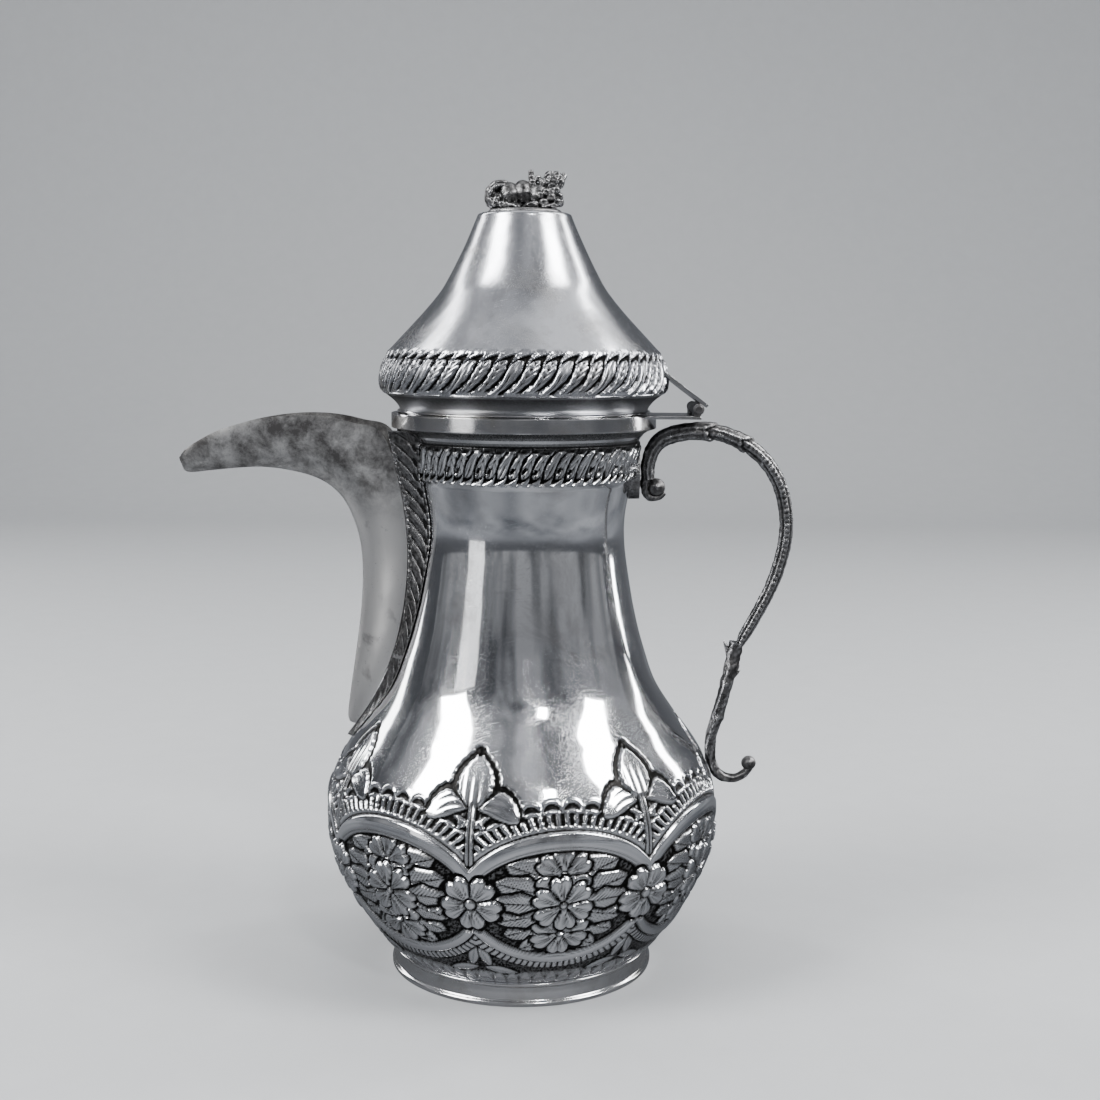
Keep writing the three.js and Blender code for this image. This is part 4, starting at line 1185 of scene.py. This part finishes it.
# Height, half width on the body, and place and half width of the front edge of the saddle
SADDLE = [
    (185.6, 24.0, -44.6, 15.2),
    (176.0, 19.5, -42.6, 14.3),
    (162.0, 16.6, -39.7, 12.9),
    (147.0, 16.0, -38.3, 12.0),
    (132.0, 15.6, -38.9, 11.4),
    (118.0, 15.0, -41.2, 10.9),
    (104.0, 14.2, -45.9, 9.4),
    (92.0, 12.6, -51.8, 6.8),
    (84.0, 9.0, -57.2, 3.6),
    (79.5, 4.0, -60.6, 1.2),
]
SADDLE_SHEET = 1.0
SADDLE_BACK = -20
THROAT_HALF = 5


def beak_grid(hollow=False, extend=0.0):
    """Sections of the beak, or of its hollow, lengthened upward by `extend`."""
    keel = catmull([s[0] for s in BEAK], 9)
    edge = catmull([s[1] for s in BEAK], 9)
    half = catmull([[s[2]] for s in BEAK], 9)[:, 0]
    depth = edge - keel
    unit = depth / np.linalg.norm(depth, axis=1)[:, None]
    if hollow:
        keep = half > 2 * BEAK_SHEET
        keel = (keel + unit * BEAK_FOLD)[keep]
        edge = edge[keep]
        half = half[keep] - BEAK_SHEET
        unit = unit[keep]
        depth = edge - keel
    turn = np.linspace(-math.pi / 2, math.pi / 2, 45)
    up = 1 - np.abs(np.cos(turn)) ** (2 / BEAK_ROUNDNESS)
    across = np.sign(turn) * np.abs(np.sin(turn)) ** (2 / BEAK_ROUNDNESS)
    flat = keel[:, None, :] + depth[:, None, :] * up[None, :, None]
    wide = half[:, None] * across[None, :]
    if extend:
        top = flat[:, [0, -1]] + unit[:, None, :] * extend
        flat = np.concatenate([top[:, :1], flat, top[:, 1:]], 1)
        wide = np.concatenate([wide[:, :1], wide, wide[:, -1:]], 1)
    points = np.stack([flat[..., 0], wide, flat[..., 1]], -1)
    uneven = 0.03 * waves(points, 16.0, 31) + 0.02 * waves(points, 7.0, 32)
    return points + uneven[..., None] * [0, 1, 0.3]


def saddle_rows():
    """The saddle's stations filled in, as height, root, front and half, from the top down."""
    return respaced(catmull(SADDLE, 30), 0.42)


def saddle_grid(rows, inset, forward, chased):
    """Sections of the saddle from side to side; `chased` gives its cheeks their relief."""
    height, root, front, half = rows.T
    root_x = -np.sqrt(np.clip(radius_at(height) ** 2 - root ** 2, 0, None))
    share = np.linspace(0, 1, 24)[None, :]
    x = root_x[:, None] * (1 - share) + front[:, None] * share
    y = (root[:, None] * (1 - share) + half[:, None] * share) - inset
    run = along(np.stack([height, root, front], 1))[:, None]
    width = np.hypot(front - root_x, root - half)[:, None]
    dark = np.zeros(x.shape)
    if chased:
        relief = chase_saddle(run, share, width)
        out = np.stack([root_x - front, half - root], 1)
        out = np.stack([-out[:, 1], out[:, 0]], 1) / np.linalg.norm(out, axis=1)[:, None]
        out = out * np.sign(out[:, 1])[:, None]
        fade = smoothstep(0, 3, run) * smoothstep(0, 5, run.max() - run)
        x = x + out[:, 0][:, None] * relief.height * fade
        y = y + out[:, 1][:, None] * relief.height * fade
        dark = relief.dark
    back = np.full((len(rows), 1), float(SADDLE_BACK))
    tip = (front - forward)[:, None]
    side_x = np.concatenate([back, x, tip], 1)
    side_y = np.concatenate([y[:, :1], y, y[:, -1:]], 1)
    dark = np.concatenate([dark[:, :1], dark, dark[:, -1:]], 1)
    xs = np.concatenate([side_x, side_x[:, ::-1]], 1)
    ys = np.concatenate([side_y, -side_y[:, ::-1]], 1)
    points = np.stack([xs, ys, np.broadcast_to(height[:, None], xs.shape)], -1)
    return points, np.concatenate([dark, dark[:, ::-1]], 1)


def chase_saddle(run, share, width):
    """Slanting leaves between a chain of beads at the body and rough solder at the beak."""
    relief = Relief(np.broadcast(run, share).shape)
    across = share * width
    pitch = 5.4
    place = run / pitch + 1.85 * share
    near = place % 1
    line = bell(near - 0.5, 0.09)
    veins = np.sin(TAU * (3 * place + 0.6 * share))
    height = 0.45 * np.abs(np.sin(np.pi * (place + 0.5))) + 0.07 * veins - 0.3 * line
    dark = np.clip(line + 0.5 * np.clip(-veins, 0, 1) + 0.12, 0, 1)
    relief.lay(1.0, height, dark)
    hook = np.hypot((share - 0.2) * width / 1.2, (near - 0.5) * pitch / 1.5)
    relief.lay(smoothstep(1.1, 0.8, hook), -0.35, 1.0)
    bead = np.hypot((across - 0.55) / 0.7, ((run / 2.2) % 1 - 0.5) * 2.2 / 1.0)
    edge = smoothstep(1.5, 1.1, across)
    relief.lay(edge, 0.55 * dome(bead) - 0.1, smoothstep(0.7, 1.1, bead))
    rough = stipple(run, across, 1.3, 5.0)
    seam = smoothstep(width - 1.9, width - 1.4, across)
    relief.lay(seam, 0.75 * rough - 0.1, 0.75 * (1 - rough))
    return relief


def make_saddle():
    rows = saddle_rows()
    points, dark = saddle_grid(rows, 0.0, 0.0, True)
    solid = tube_object("chased_saddle", points)
    throat = rows[rows[:, 3] > THROAT_HALF]
    above = throat[:1] + [[6.0, 0, 0, 0]]
    hollow = tube_object("hollow", saddle_grid(np.vstack([above, throat]), SADDLE_SHEET, 6.0, False)[0])
    combine(solid, [hollow, body_cutter(CLEAR)], "DIFFERENCE")
    carry(solid, points, dark)
    dress(solid, "spout_saddle", "oxidised_silver")


def make_beak():
    points = beak_grid()
    beak = tube_object("beak_trough", points)
    hollow = tube_object("hollow", beak_grid(True, 6.0))
    room = tube_object("room", saddle_grid(saddle_rows(), -CLEAR, CLEAR, False)[0])
    combine(beak, [hollow, room, body_cutter(CLEAR)], "DIFFERENCE")
    carry(beak, points, smoothstep(152, 172, points[..., 2]), "dull")
    dress(beak, "spout_trough", "tarnished_silver")


# ------------------------------------------------------------------ handle

# Centre line of the handle's bar in the XZ plane, half thickness in the plane and across it
BAR = [
    ((42.3, 168.8), 2.1, 3.0),
    ((42.2, 173.6), 2.3, 3.3),
    ((43.8, 178.9), 2.5, 3.5),
    ((47.2, 182.6), 2.8, 3.7),
    ((53.0, 184.6), 2.9, 3.8),
    ((60.0, 185.2), 2.9, 3.8),
    ((67.8, 184.1), 2.6, 3.6),
    ((75.4, 180.7), 2.5, 3.4),
    ((82.3, 174.8), 2.4, 3.2),
    ((87.2, 166.6), 2.3, 3.0),
    ((89.5, 156.0), 2.2, 2.9),
    ((89.0, 145.5), 2.2, 2.8),
    ((85.6, 133.6), 2.1, 2.7),
    ((80.4, 122.6), 2.0, 2.5),
    ((76.2, 115.0), 1.8, 2.3),
    ((74.6, 111.6), 1.2, 1.8),
]
VOLUTE = [
    ((42.3, 171.5), 2.0, 2.6),
    ((41.3, 166.4), 1.6, 2.4),
    ((42.6, 162.9), 1.4, 2.2),
    ((45.6, 162.6), 1.2, 2.0),
    ((48.0, 164.2), 0.9, 1.5),
]
BRANCH = [
    ((73.6, 112.6), 2.3, 2.6),
    ((72.2, 105.5), 2.3, 2.5),
    ((70.6, 98.0), 2.1, 2.4),
    ((68.2, 89.0), 2.0, 2.3),
    ((66.0, 81.5), 1.9, 2.2),
    ((65.2, 75.0), 1.9, 2.2),
    ((66.0, 69.4), 1.8, 2.1),
    ((69.2, 65.4), 1.6, 2.0),
    ((73.8, 64.4), 1.4, 1.8),
    ((77.3, 66.2), 1.3, 1.7),
    ((79.2, 68.6), 1.2, 1.6),
]
BAR_STEPS_AT = (31.5, 44.0)  # where the acanthus leaves end along the bar
ROUND_COLUMNS = 48


def bar_frame(stations, spacing=0.36):
    """Centre, outward direction, half sizes and distance along a bar."""
    rows = respaced(catmull([[*s[0], s[1], s[2]] for s in stations], 30), spacing)
    centre = rows[:, :2]
    tangent = np.gradient(centre, axis=0)
    tangent /= np.linalg.norm(tangent, axis=1)[:, None]
    out = np.stack([-tangent[:, 1], tangent[:, 0]], 1)
    return centre, out, rows[:, 2], rows[:, 3], along(centre)


def bar_grid(stations, relief, grown=0.0):
    """Sections of a bar, and their blackening.

    `relief` gives both height and blackening for the distance along the bar and the angle round it.
    """
    centre, out, thick, wide, run = bar_frame(stations)
    turn = round_trip(ROUND_COLUMNS)
    height, dark = relief(run[:, None], turn)
    reach = (thick + grown)[:, None] * np.cos(turn)
    side = (wide + grown)[:, None] * np.sin(turn)
    size = np.hypot(reach, side)
    scale = 1 + height / size
    flat = centre[:, None, :] + out[:, None, :] * (reach * scale)[..., None]
    points = np.stack([flat[..., 0], side * scale, flat[..., 1]], -1)
    if grown == 0.0:
        rough = 0.07 * waves(points, 2.6, 41, 14) + 0.05 * waves(points, 1.3, 42, 14)
        points = points + (points - points.mean(1, keepdims=True)) * (rough / size)[..., None]
    return points, dark


def plain_cast(run, turn):
    """No relief, and a little black all over."""
    return 0.0, 0.25


def chase_bar(run, turn):
    """An acanthus sheath that ends in two steps, then a bar with three ridges and black channels."""
    sheath = smoothstep(BAR_STEPS_AT[1] + 1, BAR_STEPS_AT[1] - 1, run)
    lines = np.cos(9 * turn + 0.12 * run)
    height = 0.16 * lines * sheath
    dark = sheath * (0.35 + 0.45 * np.clip(-lines, 0, 1))
    for at in BAR_STEPS_AT:
        past = run - at - 1.7 * np.cos(2 * turn) - 0.5 * np.cos(7 * turn)
        rising = np.clip(1 + past / 7.5, 0, 1) ** 1.6
        lip = np.where(past < 0, rising, np.clip(1 - past / 0.35, 0, 1))
        height = height + 0.62 * lip
        notch = bump(past, 0.75, 1.3)
        height = height - 0.3 * notch
        dark = np.maximum(dark, notch)
    rest = 1 - sheath
    round_to = np.abs(wrap(turn))
    channel = np.maximum(bump(round_to, 0.88, 0.34), bump(round_to, 2.30, 0.34))
    beads = np.sin(TAU * run / 1.7) * bump(round_to, math.pi / 2, 0.5)
    height = height + rest * (0.08 - 0.55 * channel + 0.12 * beads)
    dark = np.maximum(dark, rest * np.maximum(channel, 0.35 * bump(round_to, math.pi / 2, 0.6)))
    return height, dark


def chase_branch(run, turn):
    """Bark: long wandering grooves and knots."""
    groove = np.sin(5 * turn + 0.35 * run + 0.9 * np.sin(run / 5.5))
    knots = sum(bump(run, at, 2.4) for at in (3.0, 8.5, 14.5, 27.0))
    height = 0.13 * groove + 0.42 * knots * (0.6 + 0.4 * np.cos(turn - 0.7 * run))
    return height, np.clip(0.3 - 0.5 * groove, 0.1, 0.9)


def knob_grid(centre, radius, grooves=3):
    """A volute's ball, with rings round its Y axis."""
    lean = np.linspace(0.02, math.pi - 0.02, 40)[:, None]
    turn = round_trip(64)
    ring = np.cos(2 * grooves * lean + turn)
    reach = radius * (1 + 0.035 * ring)
    points = np.stack([
        centre[0] + reach * np.sin(lean) * np.cos(turn),
        reach * np.cos(lean),
        centre[1] + reach * np.sin(lean) * np.sin(turn),
    ], -1)
    return points, np.clip(0.25 - 0.6 * ring, 0.05, 0.9)


def thorn_grid(start, end, radius):
    """A thorn that tapers to a blunt, slightly hooked point."""
    share = np.linspace(0, 1, 26)[:, None]
    turn = round_trip(20)
    way = np.array([end[0] - start[0], end[1] - start[1]])
    out = np.array([-way[1], way[0]]) / np.hypot(*way)
    hook = 0.5 * share ** 2
    size = radius * (1 - 0.72 * share) * np.sqrt(np.clip(1 - share ** 8, 0.04, 1))
    flat = np.array(start) + share[..., None] * way + out * (hook + size * np.cos(turn))[..., None]
    points = np.stack([flat[..., 0], size * np.sin(turn), flat[..., 1]], -1)
    return points, 0.3


def cast_piece(name, grids, replaced, cutters):
    """One cast piece joined from several bodies, then cut to fit its neighbours."""
    parts = [tube_object(name, grid) for grid, _ in grids]
    if parts[1:]:
        combine(parts[0], parts[1:], "UNION")
    combine(parts[0], cutters, "DIFFERENCE")
    points = np.concatenate([grid.reshape(-1, 3) for grid, _ in grids])
    dark = np.concatenate([np.broadcast_to(d, grid.shape[:-1]).ravel() for grid, d in grids])
    carry(parts[0], points, dark)
    parts[0].name = name
    dress(parts[0], replaced, "oxidised_silver")


def make_handle():
    bar = [
        bar_grid(BAR, chase_bar),
        bar_grid(VOLUTE, plain_cast),
        knob_grid((45.0, 165.9), 3.2),
    ]
    cast_piece("acanthus_bar", bar, "handle_bar", [body_cutter(CLEAR)])
    branch = [
        bar_grid(BRANCH, chase_branch),
        knob_grid((78.8, 70.0), 2.5),
        thorn_grid((71.6, 107.0), (69.6, 113.4), 1.3),
        thorn_grid((71.2, 99.4), (75.4, 102.4), 1.1),
    ]
    room = tube_object("room", bar_grid(BAR, plain_cast, CLEAR + 0.2)[0])
    cast_piece("thorny_branch", branch, "handle_branch", [room, body_cutter(CLEAR)])


# ------------------------------------------------------------------ hinge and small metal parts


LONGEST_EDGE = 1.2


def softened(replaced, name, slot, width=0.16, uneven=0.02):
    """A small part from its CAD shape, with its edges worn round and its faces slightly uneven."""
    work = bmesh.new()
    work.from_mesh(frame["nodes"][replaced].data)
    bmesh.ops.remove_doubles(work, verts=work.verts, dist=1e-6)
    bmesh.ops.dissolve_limit(work, angle_limit=math.radians(1), verts=work.verts, edges=work.edges)
    sharp = [e for e in work.edges if e.is_manifold and e.calc_face_angle(0) > math.radians(30)]
    bmesh.ops.bevel(work, geom=sharp, offset=width * MM, segments=2, profile=0.6, affect="EDGES",
                    clamp_overlap=True)
    for _ in range(3):
        bmesh.ops.triangulate(work, faces=work.faces)
        too_long = [e for e in work.edges if e.calc_length() > LONGEST_EDGE * MM]
        bmesh.ops.subdivide_edges(work, edges=too_long, cuts=1)
    bmesh.ops.triangulate(work, faces=work.faces)
    mesh = bpy.data.meshes.new(name)
    work.to_mesh(mesh)
    work.free()
    places = np.empty(len(mesh.vertices) * 3, np.float32)
    mesh.vertices.foreach_get("co", places)
    points = places.reshape(-1, 3) / MM
    points = points + uneven * np.stack([waves(points, 3.5, seed) for seed in (51, 52, 53)], -1)
    mesh.vertices.foreach_set("co", (points * MM).astype(np.float32).ravel())
    mesh.shade_smooth()
    mesh.set_sharp_from_angle(angle=math.radians(38))
    obj = bpy.data.objects.new(name, mesh)
    bpy.context.scene.collection.objects.link(obj)
    dress(obj, replaced, slot)


def make_small_parts():
    softened("handle_pad", "handle_tab", "oxidised_silver", 0.3, 0.08)
    softened("hinge_lower_leaf", "hinge_tongue", "brushed_silver")
    for replaced, name in (("front", "near"), ("back", "far")):
        softened("hinge_knuckle_" + replaced, "knuckle_" + name, "oxidised_silver", 0.12)
    softened("hinge_pin", "hinge_wire", "oxidised_silver", 0.2)
    softened("hinge_strap", "hinge_plate", "brushed_silver")
    softened("hinge_lid_knuckle", "knuckle_lid", "oxidised_silver", 0.12)
    softened("finial_stud", "finial_bolt", "brushed_silver", 0.15)
    softened("finial_nut", "finial_hex_nut", "brushed_silver", 0.25)


# ------------------------------------------------------------------ finial


def petal_grid(base, tip, width, thick, cup, roll=0.0, ruffle=0.0):
    """A closed petal from base to tip, cupped across by `cup` mm and rolled about its length."""
    base = np.array(base, float)
    tip = np.array(tip, float)
    way = tip - base
    length = np.linalg.norm(way)
    way /= length
    side = np.cross(way, [0, 0, 1.0])
    side = side / np.linalg.norm(side) if np.linalg.norm(side) > 0.05 else np.array([0, 1.0, 0])
    face = np.cross(side, way)
    across_way = side * math.cos(roll) + face * math.sin(roll)
    face = face * math.cos(roll) - side * math.sin(roll)
    share = np.linspace(0.0, 1.0, 30)[:, None, None]
    turn = round_trip(28)[..., None]
    half = width / 2 * np.sin(np.pi * (0.12 + 0.8 * share) ** 1.1) ** 0.5
    half = half * (1 + ruffle * np.sin(share * 21))
    across = half * np.cos(turn)
    lift = thick / 2 * np.sin(turn)
    bend = cup * (across / (width / 2)) ** 2 + 0.35 * cup * np.sin(np.pi * share)
    veins = 0.12 * np.cos(across * 4.0)
    return base + way * (share * length) + across_way * across + face * (lift + bend + veins)


def lump_grid(centre, size, ribs, depth, lean_over=0.0):
    """A round lump along X with ribs from pole to pole, leaning over in the XZ plane."""
    lean = np.linspace(0.03, math.pi - 0.03, 36)[:, None]
    turn = round_trip(44)
    reach = 1 + depth * np.cos(ribs * turn) * np.sin(lean)
    x = size[0] * np.cos(lean)
    z = size[2] * reach * np.sin(lean) * np.sin(turn)
    return np.stack([
        centre[0] + x * math.cos(lean_over) - z * math.sin(lean_over),
        centre[1] + size[1] * reach * np.sin(lean) * np.cos(turn),
        centre[2] + z * math.cos(lean_over) + x * math.sin(lean_over),
    ], -1)


def curl_grid(centre, radius, start, stop, thick, wide):
    """A strip curled in the XZ plane round a centre [x, y, z], from one angle to another in degrees."""
    angle = np.radians(np.linspace(start, stop, 34))[:, None]
    turn = round_trip(24)
    share = np.linspace(0, 1, 34)[:, None]
    size = np.sin(np.pi * (0.1 + 0.84 * share)) ** 0.5 * (1 + 0.1 * np.sin(share * 26))
    reach = radius + thick * size * np.cos(turn)
    return np.stack([
        centre[0] + reach * np.cos(angle),
        centre[1] + wide * size * np.sin(turn),
        centre[2] + reach * np.sin(angle),
    ], -1)


# The cast spray, in mm: X along the spray, Y to the back, Z above the disc
SMOOTH_BUDS = [  # centre, size, lean
    ((-9.2, 0.0, 3.2), (2.6, 4.6, 3.1), 0.0),
    ((-5.0, -0.6, 4.7), (3.9, 5.2, 4.2), 0.35),
    ((-0.4, -0.4, 5.3), (3.4, 4.9, 4.3), 0.2),
    ((4.6, 0.0, 4.4), (4.2, 4.9, 4.2), 0.0),
    ((9.0, 0.2, 5.2), (2.7, 4.0, 4.4), -0.2),
]
BEADS = [  # centre, radius
    ((2.0, -0.6, 12.0), 1.0), ((2.2, -0.6, 10.4), 1.15), ((2.6, -0.7, 8.8), 1.4),
    ((4.4, -0.6, 10.2), 1.1), ((5.8, -1.2, 9.0), 1.2), ((-9.6, -4.0, 1.6), 1.5),
    ((-11.2, -2.6, 2.6), 1.3), ((-11.6, 0.6, 2.0), 1.3), ((-7.6, -4.8, 1.3), 1.3),
    ((3.4, -4.6, 1.4), 1.4), ((6.4, -4.6, 2.0), 1.6), ((8.6, -4.2, 3.8), 1.5),
    ((10.6, -3.2, 2.2), 1.5), ((11.4, -1.4, 4.2), 1.4), ((7.2, -4.4, 5.4), 1.3),
    ((10.4, -2.6, 6.2), 1.3), ((5.2, -4.4, 4.4), 1.3), ((11.6, 1.4, 2.6), 1.5),
    ((8.0, 4.2, 2.6), 1.6), ((4.6, 4.4, 2.4), 1.6),
]
RIMS = [  # Y, Z and radius of the curled leaf edges at the left end
    (-3.3, 3.4, 4.2), (-0.9, 3.9, 5.0), (1.6, 3.8, 4.8), (3.8, 3.2, 3.9),
]
BLOSSOM = (9.4, -1.2, 9.2)
BASE_LEAVES = [  # base and tip in the XY plane
    ((-2.0, -3.0), (-6.0, -8.6)), ((1.6, -3.4), (2.4, -9.6)), ((6.0, -3.2), (9.8, -6.8)),
    ((-2.0, 3.0), (-6.0, 8.8)), ((1.8, 3.4), (3.0, 9.6)), ((5.8, 3.2), (9.8, 7.0)),
]


def blossom_grids(middle):
    """Two rings of petals round a bud that faces the front and a little to the right."""
    grids = [lump_grid(middle, (2.8, 2.4, 2.6), 6, 0.08)]
    for count, reach, forward, width in ((5, 3.7, -0.8, 4.4), (4, 2.1, -2.0, 2.8)):
        for i in range(count):
            turn = TAU * (i + 0.35) / count + forward
            tip = middle + [reach * math.cos(turn), forward, 0.85 * reach * math.sin(turn)]
            grids.append(petal_grid(middle, tip, width, 1.9, -0.7, math.pi / 2, 0.02))
    return grids


def finial_grids(floor):
    """The bodies that make up the flower spray lying on the lid, before they are cast into one."""
    lift = np.array([0.0, 0.0, floor])
    grids = [lump_grid(centre + lift, size, 8, 0.03, lean) for centre, size, lean in SMOOTH_BUDS]
    grids += [lump_grid(centre + lift, (radius,) * 3, 5, 0.1) for centre, radius in BEADS]
    grids += [curl_grid((-7.5, y, z + floor), radius, 70, 225, 1.0, 1.45) for y, z, radius in RIMS]
    grids += blossom_grids(BLOSSOM + lift)
    grids.append(petal_grid((10.2, -0.8, floor + 8.6), (13.4, -0.6, floor + 11.8), 3.8, 1.7, -1.0, 0.1))
    grids.append(petal_grid((9.0, -0.4, floor + 9.6), (7.4, -0.2, floor + 12.4), 3.2, 1.5, -0.8, 0.2))
    for base, tip in BASE_LEAVES:
        grids.append(petal_grid((*base, floor + 1.5), (*tip, floor + 1.0), 5.0, 1.5, -0.5, 0.0, 0.06))
    return grids


def make_finial():
    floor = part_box("finial_base")[1].z / MM + 0.06
    parts = [tube_object("flower_spray", grid) for grid in finial_grids(floor)]
    spray = combine(parts[0], parts[1:], "UNION")
    remesh = spray.modifiers.new("cast", "REMESH")
    remesh.mode = "VOXEL"
    remesh.voxel_size = 0.17 * MM
    smooth = spray.modifiers.new("worn", "SMOOTH")
    smooth.iterations = 3
    combine(spray, [], "UNION")
    under = np.array([[0.01, floor - 9], [30, floor - 9], [30, floor], [0.01, floor]])
    combine(spray, [tube_object("under", spun(under, round_trip(24)))], "DIFFERENCE")
    spray.data.shade_smooth()
    dress(spray, "finial_spray", "oxidised_silver")


# ------------------------------------------------------------------ the whole


make_body()
make_lid()
make_plain_rings()
make_saddle()
make_beak()
make_handle()
make_small_parts()
make_finial()
make_floor()
make_world()
make_lights()
make_camera()
make_view()
